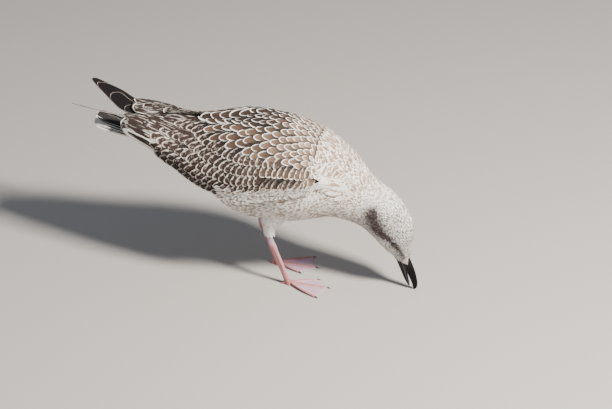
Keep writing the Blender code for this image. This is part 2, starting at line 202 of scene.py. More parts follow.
def blotch(points, size, seed):
    """Soft random mottling from 0 to 1: a sum of a few slanting waves of about one size."""
    rng = np.random.default_rng(seed)
    total = np.zeros(points.shape[:-1])
    for _ in range(7):
        way = rng.normal(size=3)
        way /= np.linalg.norm(way)
        total += np.sin(points @ way * (2 * math.pi / size) * rng.uniform(0.6, 1.5) + rng.uniform(0, 7))
    return np.clip(0.5 + total / 7.5, 0, 1)


def dark_face(station, angle):
    """How dark the face and neck side are: a band from the lores through the eye to the ear, a smudge, and a
    darkening below the band towards the throat that is partly dusky feathering and partly painted shade.
    """
    degrees = np.abs(np.degrees(angle))
    band = np.interp(station, (9.0, 9.5, 9.8, 10.2, 10.6, 11.1, 12.0, 12.9, 14.0),
                     (66, 78, 84, 88, 85, 77, 72, 66, 58))
    width = np.interp(station, (9.0, 9.5, 10.2, 10.6, 11.2, 12.0, 13.0, 14.0),
                      (12, 14, 13, 12, 9.5, 10, 12, 15))
    strength = np.interp(station, (8.8, 9.2, 9.7, 10.1, 11.6, 13.4, 14.0),
                         (0.1, 0.55, 0.8, 1.0, 1.0, 0.85, 0.6))
    streak = strength * np.exp(-(np.abs(degrees - band) / width) ** 2.4)
    smudge = 0.85 * np.exp(-((degrees - 74) / 18) ** 2 - ((station - 9.2) / 0.30) ** 2)
    # Below the band, towards the throat, the face is darkened: partly dusky feathering, partly painted shade.
    shade = 0.50 * np.exp(-((degrees - 98) / 22) ** 2 - ((station - 9.7) / 0.7) ** 2)
    return np.clip(streak + smudge + shade, 0, 1)


def body_paint(station, angle, points):
    """Fringe colour, centre colour and the size of the dark centre for body plumage, with painted shade on the
    throat and below the face band.
    """
    degrees = np.abs(np.degrees(angle))
    broad, small, fine = blotch(points, 0.026, 3), blotch(points, 0.0065, 4), blotch(points, 0.004, 5)
    white, warm = np.array([0.80, 0.765, 0.72]), np.array([0.27, 0.185, 0.128])
    flank, crown = np.array([0.20, 0.150, 0.118]), np.array([0.070, 0.056, 0.048])
    centre = mix(flank, warm, np.interp(station, (3.5, 5.0), (0, 1)))
    centre = centre + (crown - warm) * np.interp(station, (8.2, 9.4), (0, 1))[..., None]
    back = np.interp(station, (1, 3, 6.6, 8.2, 8.9, 9.2, 9.8, 12, 14),
                     (0.8, 0.95, 1.0, 0.8, 0.3, 0.35, 0.75, 0.8, 0.6))
    under = np.interp(station, (0, 1.5, 3, 5, 7, 8.3, 9, 10), (0.75, 0.6, 0.42, 0.50, 0.58, 0.45, 0.3, 0.3))
    amount = np.where(degrees < 70, back, back + (under - back) * np.clip((degrees - 70) / 40, 0, 1))
    chin = np.clip((degrees - 100) / 40, 0, 1) * np.clip((station - 8) / 2, 0, 1)
    even = np.interp(station, (8.8, 9.6), (0, 1))
    uneven = (0.36 + 0.40 * broad + 0.55 * small) * (1 - even) + (0.70 + 0.24 * small) * even
    amount = np.clip(amount * uneven * (1 - 0.8 * chin), 0, 1)
    size = 0.11 + 0.60 * amount
    dark = dark_face(station, angle)
    ink = np.array([0.034, 0.024, 0.023])
    # Painted shade: the throat is painted darker, as it lies in shade under the head; the whites are also
    # dimmed by a tenth all round near station 8.9.
    painted_throat_shade_and_neck_dimming = 1 - 0.52 * chin - 0.10 * np.interp(station, (8.3, 8.9, 9.6), (0, 1, 0))
    fringe = white * painted_throat_shade_and_neck_dimming[..., None] * (0.92 + 0.12 * fine)[..., None]
    tone = (0.68 + 0.32 * amount)[..., None]
    centre = fringe * (1 - tone) + centre * tone
    centre = centre * (1 - dark[..., None]) + ink * dark[..., None]
    fringe = fringe * (1 - 0.92 * dark[..., None]) + ink * 2.2 * 0.92 * dark[..., None]
    size = np.maximum(size, 0.75 * dark)
    return fringe, centre, size


def store_colour(mesh, name, colour):
    """Store one colour at each vertex; one of three numbers gets an alpha of 1."""
    whole = np.ones(colour.shape[:-1] + (4,), np.float32)
    whole[..., :colour.shape[-1]] = colour
    layer = mesh.attributes.new(name, "FLOAT_COLOR", "POINT")
    layer.data.foreach_set("color", whole.reshape(-1))


def store_value(mesh, name, values):
    """Store one number at each vertex."""
    layer = mesh.attributes.new(name, "FLOAT", "POINT")
    layer.data.foreach_set("value", values.astype(np.float32).reshape(-1))


def new_finish(name, sockets):
    """A material with its node tree and shader, some of whose sockets are set."""
    material = bpy.data.materials.new(name)
    material.use_nodes = True
    shader = material.node_tree.nodes["Principled BSDF"]
    feed(material.node_tree, shader, sockets)
    return material, material.node_tree, shader


def feed(tree, node, sockets):
    """Set a node's inputs, each to a value or to the output of another node."""
    for name, value in sockets.items():
        if isinstance(value, bpy.types.NodeSocket):
            tree.links.new(value, node.inputs[name])
        else:
            node.inputs[name].default_value = value


def add_node(tree, kind, sockets=None, output=0, **settings):
    """The output of a new node of one kind, with its settings made and its inputs fed."""
    node = tree.nodes.new("ShaderNode" + kind)
    for name, value in settings.items():
        setattr(node, name, value)
    feed(tree, node, sockets or {})
    return node.outputs[output]


def stored(tree, name, output="Color"):
    """What is stored at the vertices under a name."""
    return add_node(tree, "Attribute", output=output, attribute_name=name)


def colour_mix(tree, factor, colour_a, colour_b, blend="MIX"):
    """Two colours blended by a factor, or multiplied with each other."""
    return add_node(tree, "Mix", {"Factor": factor, 6: colour_a, 7: colour_b}, 2,
                    data_type="RGBA", blend_type=blend)


def object_place(tree, scale=None, turn=(0.0, 0.0, 0.0)):
    """The place on the piece, drawn out by a scale for each direction and turned."""
    place = add_node(tree, "TexCoord", output="Object")
    if scale is None:
        return place
    return add_node(tree, "Mapping", {"Vector": place, "Rotation": turn, "Scale": scale})


def relief(tree, shader, height, strength, depth):
    """Give a shader fine relief of a depth in metres."""
    bump = add_node(tree, "Bump", {"Strength": strength, "Distance": depth, "Height": height})
    feed(tree, shader, {"Normal": bump})


skin_station = np.linspace(0, 14, 280)
skin_angle = np.linspace(-math.pi, math.pi, 145)
skin_sheet = sample(body_surface(skin_station, skin_angle, coat_depth(skin_station)), skin_station, skin_angle)

EYE_STATION = 11.15
EYE_ANGLE = math.radians(75)
EYE_BALL = 0.0052


def eye_spot(side):
    """Centre of an eyeball and the way it looks; side is -1 for the right eye, 1 for the left."""
    a, b = np.array([EYE_STATION]), np.array([side * EYE_ANGLE])
    outward = look_up(skin_sheet, "normal", a, b)[0]
    outward = outward + np.array([0.0, 0.0, 0.12])
    outward /= np.linalg.norm(outward)
    return look_up(skin_sheet, "points", a, b)[0] - outward * (EYE_BALL - 0.0021), outward


def from_eye(points, side):
    """How far points lie out along the way an eye looks, and how far beside it; and that way."""
    eye, outward = eye_spot(side)
    offset = points - eye
    height = offset @ outward
    return height, np.linalg.norm(offset - height[..., None] * outward, axis=-1), outward


# Round each eye the skin swells to a low rim, and inside it is pushed in behind the eyeball.
EYE_OPENING = 0.0040
RIM_HEIGHT, RIM_WIDTH = 0.0005, 0.0016
skin_points = skin_sheet["points"][:, :-1].copy()
for side in (-1, 1):
    height, away, outward = from_eye(skin_points, side)
    rim = np.where(height > 0, np.exp(-((away - EYE_BALL) / RIM_WIDTH) ** 2), 0)
    pit = np.where((height > 0) & (away < EYE_OPENING), 1.0, 0.0)
    skin_points += outward * (RIM_HEIGHT * rim - EYE_OPENING * pit)[..., None]
skin = ring_mesh("skin", skin_points)
station_grid, angle_grid = np.meshgrid(skin_station, skin_angle[:-1], indexing="ij")
fringe, centre, size = body_paint(station_grid, angle_grid, skin_points)
under_tone = fringe * (1 - 0.35 * size[..., None]) + centre * 0.35 * size[..., None]
store_colour(skin.data, "under", under_tone)

# The plumage's own colours, broken up by specks drawn out along the body.
skin_finish, tree, shader = new_finish("skin_finish", {"Roughness": 0.85})
drawn_out = object_place(tree, (160, 420, 420))
speckle = add_node(tree, "TexNoise", {"Vector": drawn_out, "Scale": 1.0, "Detail": 3.0})
tint = add_node(tree, "MapRange", {"Value": speckle, "To Min": 0.78, "To Max": 1.08})
feed(tree, shader, {"Base Color": colour_mix(tree, 1.0, stored(tree, "under"), tint, "MULTIPLY")})
relief(tree, shader, speckle, 0.4, 0.0006)
skin.data.materials.append(skin_finish)
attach(skin, "root")
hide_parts("head", "neck", "trunk", "rump", "thigh_right", "thigh_left")

# ---------------------------------------------------------------- eyes
# Dark brown eyes, each a wet ball sunk in the side of the head.
# A model's eyes are glass, set in from the front; thin bare lids of modelled skin hold them.


def round_cap(centre, outward, radius, polar, around):
    """Rings of points round an axis through a centre.

    Along the axis a point lies at the cosine of its polar angle times the
    ring's radius, and beside it at the sine times the radius.
    """
    turn = np.linspace(0, 2 * math.pi, around, endpoint=False)
    across = np.cross(outward, [1.0, 0.0, 0.0])
    across /= np.linalg.norm(across)
    up = np.cross(across, outward)
    return centre + radius[:, None, None] * (
        outward * np.cos(polar)[..., None] + across * (np.sin(polar) * np.cos(turn))[..., None]
        + up * (np.sin(polar) * np.sin(turn))[..., None])


def eye_finish():
    """Nearly black pupil, dark brown iris, dark rim and a wet clear surface."""
    material, tree, shader = new_finish(
        "eye_finish", {"Roughness": 0.06, "Coat Weight": 0.6, "Coat Roughness": 0.03})
    ramp = tree.nodes.new("ShaderNodeValToRGB")
    stops = ramp.color_ramp.elements
    stops[0].position, stops[0].color = 0.40, (0.004, 0.003, 0.003, 1)
    stops[1].position, stops[1].color = 0.48, (0.010, 0.0052, 0.003, 1)
    stops.new(0.92).color = (0.004, 0.0025, 0.002, 1)
    feed(tree, ramp, {"Fac": stored(tree, "ring", "Fac")})
    feed(tree, shader, {"Base Color": ramp.outputs["Color"]})
    return material


def plain_finish(name, colour, roughness, scale=300.0, depth=0.0003, contrast=0.2):
    """A matt material with fine mottling in colour and relief."""
    material, tree, shader = new_finish(name, {"Roughness": roughness})
    noise = add_node(tree, "TexNoise", {"Vector": object_place(tree), "Scale": scale, "Detail": 4.0})
    darker = (*[c * (1 - contrast) for c in colour], 1)
    lighter = (*[min(1, c * (1 + contrast)) for c in colour], 1)
    feed(tree, shader, {"Base Color": colour_mix(tree, noise, darker, lighter)})
    relief(tree, shader, noise, 1.0, depth)
    return material


eye_material = eye_finish()
lid_material = plain_finish("lid_skin", (0.022, 0.018, 0.017), 0.6, 2500.0, 0.0001, 0.25)
LID_OUTER = 1.22
for side, title in ((-1, "right"), (1, "left")):
    centre, outward = eye_spot(side)
    polar = np.linspace(0.02, math.pi - 0.02, 40)
    ball = ring_mesh("eye_" + title + "_ball",
                     round_cap(centre, outward, np.full(40, EYE_BALL), polar[:, None], 48))
    store_value(ball.data, "ring", np.repeat(np.clip(polar / 0.80, 0, 1.2), 48))
    ball.data.materials.append(eye_material)
    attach(ball, "root")
    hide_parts("eye_" + title)
    # The lids swell from the almond-shaped opening and sink into the skin at their outer edge.
    t = np.linspace(0, 1, 14)
    opening = 0.74 + 0.07 * np.cos(2 * np.linspace(0, 2 * math.pi, 64, endpoint=False))
    swell = 0.00042 * np.sin(np.minimum(1.0, t / 0.28) * math.pi / 2) - 0.0004 * t ** 2
    radius = EYE_BALL + 0.00004 + swell + 0.00006 * np.sin(t * 34)
    lid = ring_mesh("eyelids_" + title,
                    round_cap(centre, outward, radius, opening + (LID_OUTER - opening) * t[:, None], 64))
    lid.data.materials.append(lid_material)
    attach(lid, "root")

# ---------------------------------------------------------------- bill
# Two halves of bone under a sheath of horn, black with a soft gloss, hooked at the tip.
# They are opened by a few degrees and run into the head under the feathers of the face.

BILL_TIP = (187.5, 2.0, 0.0)
BILL_OPENING = math.radians(7.5)
# Ways along each half from 0 to 1, with ridge height, edge height and half width in millimetres.
UPPER_HALF = (
    (0.00, 10.3, 0.40, 6.8),
    (0.18, 11.2, 0.85, 5.8),
    (0.36, 11.5, 1.25, 4.9),
    (0.52, 11.0, 1.45, 4.2),
    (0.66, 10.0, 1.40, 3.5),
    (0.80, 8.4, 0.90, 2.6),
    (0.90, 6.2, -0.20, 1.9),
    (0.96, 4.0, -1.10, 1.3),
    (1.00, 1.0, -1.50, 0.6),
)
LOWER_HALF = (
    (0.00, -9.8, -0.1, 6.2),
    (0.20, -8.5, -0.1, 5.1),
    (0.40, -7.2, -0.1, 4.2),
    (0.56, -6.1, -0.1, 3.6),
    (0.70, -5.0, -0.1, 3.0),
    (0.85, -3.2, -0.1, 2.2),
    (1.00, -1.0, -0.3, 0.7),
)


def bill_axes():
    """Base, way to the tip, dorsal and left directions, and length in millimetres."""
    end = read_table(BODY, np.array([13.99, 14.0]))
    base = np.array([end[1, 0], 0.0, end[1, 1]])
    line = np.array([end[1, 0] - end[0, 0], 0.0, end[1, 1] - end[0, 1]])
    line /= np.linalg.norm(line)
    turn = math.radians(end[1, 5])
    up = np.cross(line, [0.0, 1.0, 0.0]) * math.cos(turn) - np.array([0.0, 1.0, 0.0]) * math.sin(turn)
    way = np.array(BILL_TIP) - base
    length = np.linalg.norm(way)
    way /= length
    dorsal = up - way * (up @ way)
    dorsal /= np.linalg.norm(dorsal)
    return base, way, dorsal, -np.cross(dorsal, way), length


def bill_shape(table, upper, t, angle):
    """Places on one half of the bill in millimetres, and how deep they lie in the nostril.

    t runs along the half from its base (0) to its tip (1); the angle goes
    from the left cutting edge (0) over the ridge to the right one (pi), and
    back along the cutting side, which has a shallow trough.
    """
    base, way, dorsal, left, length = bill_axes()
    numbers = np.interp(np.clip(t, 0, 1), [row[0] for row in table], np.arange(len(table)))
    ridge, edge, wide = read_table(table, numbers)[:, 1:].T[..., None]
    sunk = np.clip(-t / 0.16, 0, 1)[:, None]
    ridge, wide = ridge * (1 - 0.35 * sunk), wide * (1 - 0.35 * sunk)
    arch = np.sin(angle)[None]
    outer = edge + (ridge - edge) * np.abs(arch) ** 0.86
    trough = edge + (ridge - edge) * 0.10 * np.abs(arch)
    height = np.where(arch >= 0, outer, trough)
    sideways = wide * np.cos(angle)[None] * np.where(arch >= 0, 1 - 0.10 * arch ** 2, 1)
    from_ridge = np.abs(angle - math.pi / 2)[None]
    nostril = upper * np.exp(-((t[:, None] - 0.40) / 0.085) ** 2 - ((from_ridge - 0.83) / 0.13) ** 2)
    groove = upper * np.exp(-((t[:, None] - 0.33) / 0.22) ** 2 - ((from_ridge - 0.80) / 0.26) ** 2)
    sideways = sideways * (1 - 0.16 * nostril - 0.06 * groove)
    close = np.clip((t[:, None] - 0.985) / 0.015, 0, 1)
    height = height + (0.5 * (ridge + edge) - height) * close * 0.8
    sideways = sideways * (1 - 0.8 * close)
    swing = 0.0 if upper else BILL_OPENING
    along = t * (length if upper else length * 0.90) + 0.35
    points = (base + way * (along * math.cos(swing))[:, None, None]
              + dorsal * (height - (along * math.sin(swing))[:, None])[..., None] + left * sideways[..., None])
    return points, nostril


def bill_half(name, table, upper):
    """One half of the bill as a closed tapering shell, whose first rings run into the head."""
    rows, around = 90, 64
    t, angle = np.linspace(-0.16, 1, rows), np.linspace(0, 2 * math.pi, around, endpoint=False)
    points, nostril = bill_shape(table, upper, t, angle)
    caps = [[(rows - 1) * around + j for j in range(around)], list(range(around))[::-1]]
    half = ring_mesh(name, into_frame(points), caps)
    # The nostril's place is stored for its painted shade.
    store_value(half.data, "painted_nostril_shade", nostril)
    store_value(half.data, "way", np.repeat(t, around))
    return half


def horn_finish():
    """Black horn, a little paler at the base, scuffed, with a soft gloss; the nostril is painted near black as
    painted shade.
    """
    material, tree, shader = new_finish("horn_finish", {"Specular IOR Level": 0.13})
    ramp = tree.nodes.new("ShaderNodeValToRGB")
    stops = ramp.color_ramp.elements
    stops[0].position, stops[0].color = 0.0, (0.011, 0.010, 0.0105, 1)
    stops[1].position, stops[1].color = 0.42, (0.0034, 0.0034, 0.0040, 1)
    feed(tree, ramp, {"Fac": stored(tree, "way", "Fac")})
    # Painted shade: the nostril is painted near black.
    colour = colour_mix(tree, stored(tree, "painted_nostril_shade", "Fac"), ramp.outputs["Color"], (0.002, 0.002, 0.002, 1))
    drawn_out = object_place(tree, (90, 900, 900), (0.0, 1.25, 0.0))
    scuff = add_node(tree, "TexNoise", {"Vector": drawn_out, "Scale": 1.0, "Detail": 4.0})
    rough = add_node(tree, "MapRange", {"Value": scuff, "To Min": 0.10, "To Max": 0.22})
    feed(tree, shader, {"Base Color": colour, "Roughness": rough})
    relief(tree, shader, scuff, 0.12, 0.0002)
    return material


horn = horn_finish()
for name, table, upper in (("bill_upper", UPPER_HALF, True), ("bill_lower", LOWER_HALF, False)):
    half = bill_half(name + "_horn", table, upper)
    half.data.materials.append(horn)
    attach(half, "root")
    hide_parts(name)

# ---------------------------------------------------------------- body plumage
# Small soft contour feathers, rooted in the skin in staggered rows and lying towards the tail.
# Each is a thin curved vane that overlaps the next; the tips rise to the outline of the solids.


def staggered(sheet, start, end, row_step, side_step, rng, scatter=0.22):
    """Places in staggered rows across a sheet, from a = start down to a = end.

    Steps are functions of a, in metres: the way to the next row, and the way
    to the next place along a row.
    """
    places_a, places_b = [], []
    a, odd = start, False
    while (a - end) * (start - end) > 0:
        middle = np.array([0.5 * (sheet["b"][0] + sheet["b"][-1])])
        speed = np.linalg.norm(look_up(sheet, "slope_a", np.full(1, a), middle)[0])
        b = sheet["b"]
        ridge = look_up(sheet, "points", np.full(len(b), a), b)
        length = np.concatenate([[0], np.cumsum(np.linalg.norm(np.diff(ridge, axis=0), axis=1))])
        count = max(3, int(length[-1] / side_step(a)))
        spots = (np.arange(count) + (0.75 if odd else 0.25)) / count * length[-1]
        spots = spots + rng.uniform(-scatter, scatter, count) * side_step(a)
        places_b.append(np.interp(spots, length, b))
        places_a.append(a + rng.uniform(-scatter, scatter, count) * row_step(a) / speed)
        a += math.copysign(row_step(a) / max(speed, 1e-6), end - start)
        odd = not odd
    return np.concatenate(places_a), np.concatenate(places_b)


def lay_vanes(sheet, a, b, heading, length, width, root_lift, tip_lift, rows=6, columns=5,
              round_from=0.55, dome=0.10, curl=0.0, ragged=0.0, soft=0.5, towards=-1.0, anchor=0.0, bank=0.0,
              rng=None):
    """Feather vanes on a sheet, one at each place (a, b).

    A vane starts at its root and runs towards lower a (or higher, by
    towards), turned by heading.  Its half width swells to the given width
    and closes in a round tip; it rises evenly from root_lift to tip_lift,
    its edges droop by dome times the half width, and the tip dips by curl.
    The place is its root, or its tip where anchor is 1; bank lifts one side.
    ragged tears the tip by a share of the length that shrinks towards its
    point; a face that the tearing folds over is turned to look outwards.
    """
    n = len(a)
    length, width, root_lift, tip_lift, bank = (
        np.broadcast_to(each, (n,))[:, None, None] for each in (length, width, root_lift, tip_lift, bank))
    tip_rows = max(3, (rows + 1) // 2)
    swing = np.linspace(0, 0.5 * math.pi, tip_rows)
    u = np.concatenate([np.linspace(0, round_from, rows - tip_rows, endpoint=False),
                        round_from + (1 - round_from) * np.sin(swing)])[:, None]
    v = np.linspace(-1, 1, columns)
    beyond = np.clip((u - round_from) / (1 - round_from), 0, 1)
    outline = np.where(u < round_from, 0.62 + 0.38 * np.sin(0.5 * math.pi * u / round_from),
                       np.sqrt(np.clip(1 - beyond ** 2, 0.02, 1)))
    slope_a, slope_b, normal = (look_up(sheet, kind, a, b) for kind in ("slope_a", "slope_b", "normal"))
    tail = slope_a * towards
    tail /= np.linalg.norm(tail, axis=1)[:, None]
    tail -= normal * (tail * normal).sum(1)[:, None]
    tail /= np.linalg.norm(tail, axis=1)[:, None]
    across = np.cross(normal, tail)
    lie = tail * np.cos(heading)[:, None] + across * np.sin(heading)[:, None]
    side = np.cross(normal, lie)
    wave = rng.uniform(-1, 1, (n, 1, columns)) * ragged if rng is not None else np.zeros((n, 1, columns))
    along = length * (u - anchor + wave * (u > 0.7) * outline)
    sideways = 0.5 * width * outline * v
    step = lie[:, None, None] * along[..., None] + side[:, None, None] * sideways[..., None]
    # The step in metres becomes steps in a and b by the sheet's slopes at the root.
    aa, ab, bb = ((x * y).sum(1)[:, None, None]
                  for x, y in ((slope_a, slope_a), (slope_a, slope_b), (slope_b, slope_b)))
    det = aa * bb - ab * ab
    with_a, with_b = ((step * slope[:, None, None]).sum(-1) for slope in (slope_a, slope_b))
    place_a = a[:, None, None] + (with_a * bb - with_b * ab) / det
    place_b = b[:, None, None] + (with_b * aa - with_a * ab) / det
    if sheet.get("round"):
        place_b = (place_b + math.pi) % (2 * math.pi) - math.pi
    points = on_sheet(sheet, place_a, place_b)
    under = look_up(sheet, "normal", place_a, place_b)
    lift = (root_lift + (tip_lift - root_lift) * u - dome * 0.5 * width * (outline * v) ** 2
            - curl * beyond ** 2 + bank * (outline * v))
    points = points + under * lift[..., None]
    faces = quads(np.arange(n * rows * columns).reshape(n, rows, columns))[..., [0, 3, 2, 1]]
    facing = np.cross(points[:, 1:, 1:] - points[:, :-1, :-1], points[:, :-1, 1:] - points[:, 1:, :-1])
    folded = (facing * under[:, 1:, 1:]).sum(-1) < 0
    faces[folded] = faces[folded][:, ::-1]
    own = np.cross(np.gradient(points, axis=1), np.gradient(points, axis=2))
    own /= np.maximum(np.linalg.norm(own, axis=-1), 1e-12)[..., None]
    own *= np.sign((own * under).sum(-1))[..., None] + 1e-9
    blend = own * (1 - soft) + under * soft
    blend /= np.linalg.norm(blend, axis=-1)[..., None]
    vane = np.stack(np.broadcast_arrays(u, 0.5 + 0.5 * v), -1)
    span_a, span_b = sheet["a"][-1] - sheet["a"][0], sheet["b"][-1] - sheet["b"][0]
    home = np.stack([(b - sheet["b"][0]) / span_b, (a - sheet["a"][0]) / span_a], 1) * 0.98 + 0.01
    return {"points": points, "faces": faces, "normals": blend, "home": home,
            "vane": np.broadcast_to(vane, (n, rows, columns, 2))}


def paint_vanes(batch, centre, fringe, size, soft_edge, rng):
    """Give each vane its centre colour and centre size, fringe colour and edge softness, and its own seed."""
    whole = batch["points"].shape[:3]
    n = whole[0]
    for name, colour, alpha in (("centre", centre, size), ("fringe", fringe, soft_edge)):
        batch[name] = np.empty(whole + (4,))
        batch[name][..., :3] = np.broadcast_to(colour, (n, 3))[:, None, None]
        batch[name][..., 3] = np.broadcast_to(alpha, (n,))[:, None, None]
    batch["seed"] = np.broadcast_to(rng.uniform(0, 1, n)[:, None, None], whole)
    return batch


# Side of the small patch that a body feather takes up on the unwrapped skin.
PATCH = 0.003


def join_vanes(name, batches, material, cells=False):
    """One mesh from several batches of vanes, with their stored colours and maps.

    OFBake puts every vane in a small patch where its root lies on the
    unwrapped skin; with cells, each large feather has a square of its own.
    """
    def together(kind, channels):
        """One kind of value of every batch, one row for each vertex."""
        return np.concatenate([batch[kind].reshape(-1, channels) for batch in batches])

    starts = np.cumsum([0] + [batch["points"].size // 3 for batch in batches])
    faces = np.concatenate([batch["faces"].reshape(-1, 4) + start for batch, start in zip(batches, starts)])
    across = math.ceil(math.sqrt(sum(len(batch["points"]) for batch in batches)))
    bake, first = [], 0
    for batch in batches:
        within = batch["vane"][..., ::-1]
        if cells:
            number = first + np.arange(len(batch["points"]))
            corner = np.stack([number % across, number // across], 1)[:, None, None] / across
            bake.append((corner + (0.06 + 0.88 * within) / across).reshape(-1, 2))
            first += len(number)
        else:
            bake.append((batch["home"][:, None, None] + (within - 0.5) * PATCH).reshape(-1, 2))
    points = together("points", 3)
    mesh = bpy.data.meshes.new(name)
    mesh.vertices.add(len(points))
    mesh.vertices.foreach_set("co", points.astype(np.float32).reshape(-1))
    mesh.loops.add(len(faces) * 4)
    mesh.loops.foreach_set("vertex_index", faces.astype(np.int32).reshape(-1))
    mesh.polygons.add(len(faces))
    mesh.polygons.foreach_set("loop_start", np.arange(0, len(faces) * 4, 4, dtype=np.int32))
    mesh.update(calc_edges=True)
    for title, values in (("OFBake", np.concatenate(bake)), ("vane", together("vane", 2))):
        layer = mesh.uv_layers.new(name=title)
        layer.uv.foreach_set("vector", values[faces.reshape(-1)].astype(np.float32).reshape(-1))
    for title in ("centre", "fringe"):
        store_colour(mesh, title, together(title, 4))
    store_value(mesh, "seed", together("seed", 1).reshape(-1))
    mesh.shade_smooth()
    mesh.normals_split_custom_set_from_vertices(together("normals", 3).tolist())
    mesh.materials.append(material)
    thing = into_scene(name, mesh)
    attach(thing, "root")
    return thing


def feather_finish(name, round_from, notch=0.0, notch_count=5.0, inner=0.0, barbs=0.25, roughness=0.75,
                   wander=0.12, painted_shade_from=None, spots=0.0, spot_scale=(11.0, 1.5), aspect=None):
    """Material of a vane: centre colour inside, fringe colour outside, fine slanting barbs.

    The place inside the outline is r squared, which is 0 on the shaft and 1
    on the edge: v squared on the sides, and closing in at the round tip.
    notch bites light teeth into the centre; inner lightens its middle;
    painted_shade_from darkens the root half with painted shade, where it shows in the gaps between tips;
    spots scatters fringe-coloured flecks over the outer part.  With aspect, half
    width over length, the place is 1 less four times the nearest way to the
    outline over the length, which keeps the fringe one width all round.
    """
    material, tree, shader = new_finish(name, {"Roughness": roughness, "Specular IOR Level": 0.3})

    def work(operation, *values, clamp=False):
        """The output of one sum on the vane."""
        return add_node(tree, "Math", dict(enumerate(values)), operation=operation, use_clamp=clamp)

    vane = add_node(tree, "UVMap", uv_map="vane")
    u, across = (add_node(tree, "SeparateXYZ", {"Vector": vane}, axis) for axis in "XY")
    x = work("MULTIPLY_ADD", across, 2.0, -1.0)
    side = work("ABSOLUTE", x)
    seed = stored(tree, "seed", "Fac")

    def noise_on_vane(along, beside, far, detail):
        """Soft noise drawn out over the vane, from another part of it for each far."""
        place = {"X": work("MULTIPLY", u, along), "Y": work("MULTIPLY", x, beside), "Z": far}
        place = add_node(tree, "CombineXYZ", place)
        return add_node(tree, "TexNoise", {"Vector": place, "Scale": 1.0, "Detail": detail})

    t = work("DIVIDE", work("SUBTRACT", u, round_from), 1.0 - round_from, clamp=True)
    t2 = work("MULTIPLY", t, t)
    if aspect is None:
        r2 = work("ADD", work("MULTIPLY", work("MULTIPLY", x, x), work("SUBTRACT", 1.0, t2)), t2)
    else:
        bow = work("SQRT", work("SUBTRACT", 1.0, t2))
        from_side = work("MULTIPLY", work("MULTIPLY", work("SUBTRACT", 1.0, side), bow), aspect)
        nearest = work("MINIMUM", from_side, work("SUBTRACT", 1.0, u))
        r2 = work("MULTIPLY_ADD", nearest, -4.0, 1.0)
    uneven = noise_on_vane(5.0, 1.7, work("MULTIPLY", seed, 91.0), 2.0)
    place = work("ADD", r2, work("MULTIPLY", work("SUBTRACT", uneven, 0.5), wander * 2))
    if notch:
        beat = work("SINE", work("MULTIPLY_ADD", u, 6.2832 * notch_count, work("MULTIPLY", seed, 6.28)))
        place = work("ADD", place, work("MULTIPLY", work("MULTIPLY", beat, notch), side))
    soft = work("ADD", stored(tree, "fringe", "Alpha"), 0.02)
    edge = work("DIVIDE", work("SUBTRACT", place, stored(tree, "centre", "Alpha")), soft, clamp=True)
    if spots:
        grain = noise_on_vane(*spot_scale, work("MULTIPLY_ADD", seed, 57.0, 3.0), 1.0)
        light = work("MULTIPLY", work("SUBTRACT", grain, 0.56), 9.0, clamp=True)
        outer = work("MULTIPLY", work("SUBTRACT", r2, 0.10), 2.2, clamp=True)
        edge = work("MAXIMUM", edge, work("MULTIPLY", work("MULTIPLY", light, outer), spots))
    deep = work("MULTIPLY_ADD", side, -inner, 1.0 + inner * 0.45)
    body = colour_mix(tree, 1.0, stored(tree, "centre"), deep, "MULTIPLY")
    colour = colour_mix(tree, edge, body, stored(tree, "fringe"))
    # Painted shade: the root half of the vane is darkened, as it lies in shade in the gaps between the tips.
    if painted_shade_from is not None:
        rise = work("DIVIDE", work("SUBTRACT", u, painted_shade_from), 0.34, clamp=True)
        colour = colour_mix(tree, 1.0, colour, work("MULTIPLY_ADD", rise, 0.82, 0.18), "MULTIPLY")
    # Fine dark lines slant out from a thin shaft, drawn and in relief.
    barb = work("SINE", work("ADD", work("MULTIPLY", u, 380.0), work("MULTIPLY", side, -110.0)))
    shaft = work("LESS_THAN", side, 0.045)
    line = work("MULTIPLY_ADD", barb, 0.07, work("MULTIPLY_ADD", shaft, -0.16, 0.97))
    feed(tree, shader, {"Base Color": colour_mix(tree, 1.0, colour, line, "MULTIPLY")})
    relief(tree, shader, work("ADD", barb, shaft), barbs, 0.0002)
    return material


skin_sheet["round"] = True
contour_finish = feather_finish("contour_feather_finish", 0.55, roughness=0.85, wander=0.16)
rng = np.random.default_rng(11)


def under_wing(station, angle):
    """True where the folded wing covers the body, so that no feathers are laid there."""
    degrees = np.abs(np.degrees(angle))
    upper = np.interp(station, (0, 2.6, 3.6, 5, 6.2, 6.6), (10, 24, 38, 42, 46, 70))
    lower = np.interp(station, (0, 2.6, 3.6, 5, 6.2, 6.6), (85, 92, 98, 96, 90, 72))
    return (degrees > upper) & (degrees < lower) & (station < 6.6)


def body_coat(name, start, end, sizes, keep, rows, columns, ragged):
    """One coat piece between two stations.

    Rows of sizes give a station, and there the steps to the next row and the
    next feather, the feathers' length and their width, all in metres.
    """
    table = np.array(sizes)
    row_step, side_step, long, wide = (
        lambda a, column=column: np.interp(a, table[:, 0], table[:, column]) for column in range(1, 5))
    a, b = staggered(skin_sheet, start, end, row_step, side_step, rng)
    chosen = keep(a, b)
    a, b = a[chosen], b[chosen]
    fringe, centre, size = body_paint(a, b, look_up(skin_sheet, "points", a, b))
    vary = rng.uniform(0.80, 1.22, len(a))
    depth = coat_depth(a) * 0.001
    batch = lay_vanes(skin_sheet, a, b, rng.normal(0, 0.13, len(a)), long(a) * vary, wide(a) * vary,
                      depth * 0.05, depth * rng.uniform(0.78, 1.0, len(a)), rows=rows, columns=columns,
                      dome=0.16, curl=0.0002, ragged=ragged, soft=0.7, rng=rng)
    fringe = fringe * rng.uniform(0.95, 1.04, (len(a), 1))
    size = np.clip(size * rng.uniform(0.4, 1.35, len(a)), 0.02, 0.9)
    paint_vanes(batch, centre, fringe, size, 0.22, rng)
    join_vanes(name, [batch], contour_finish)


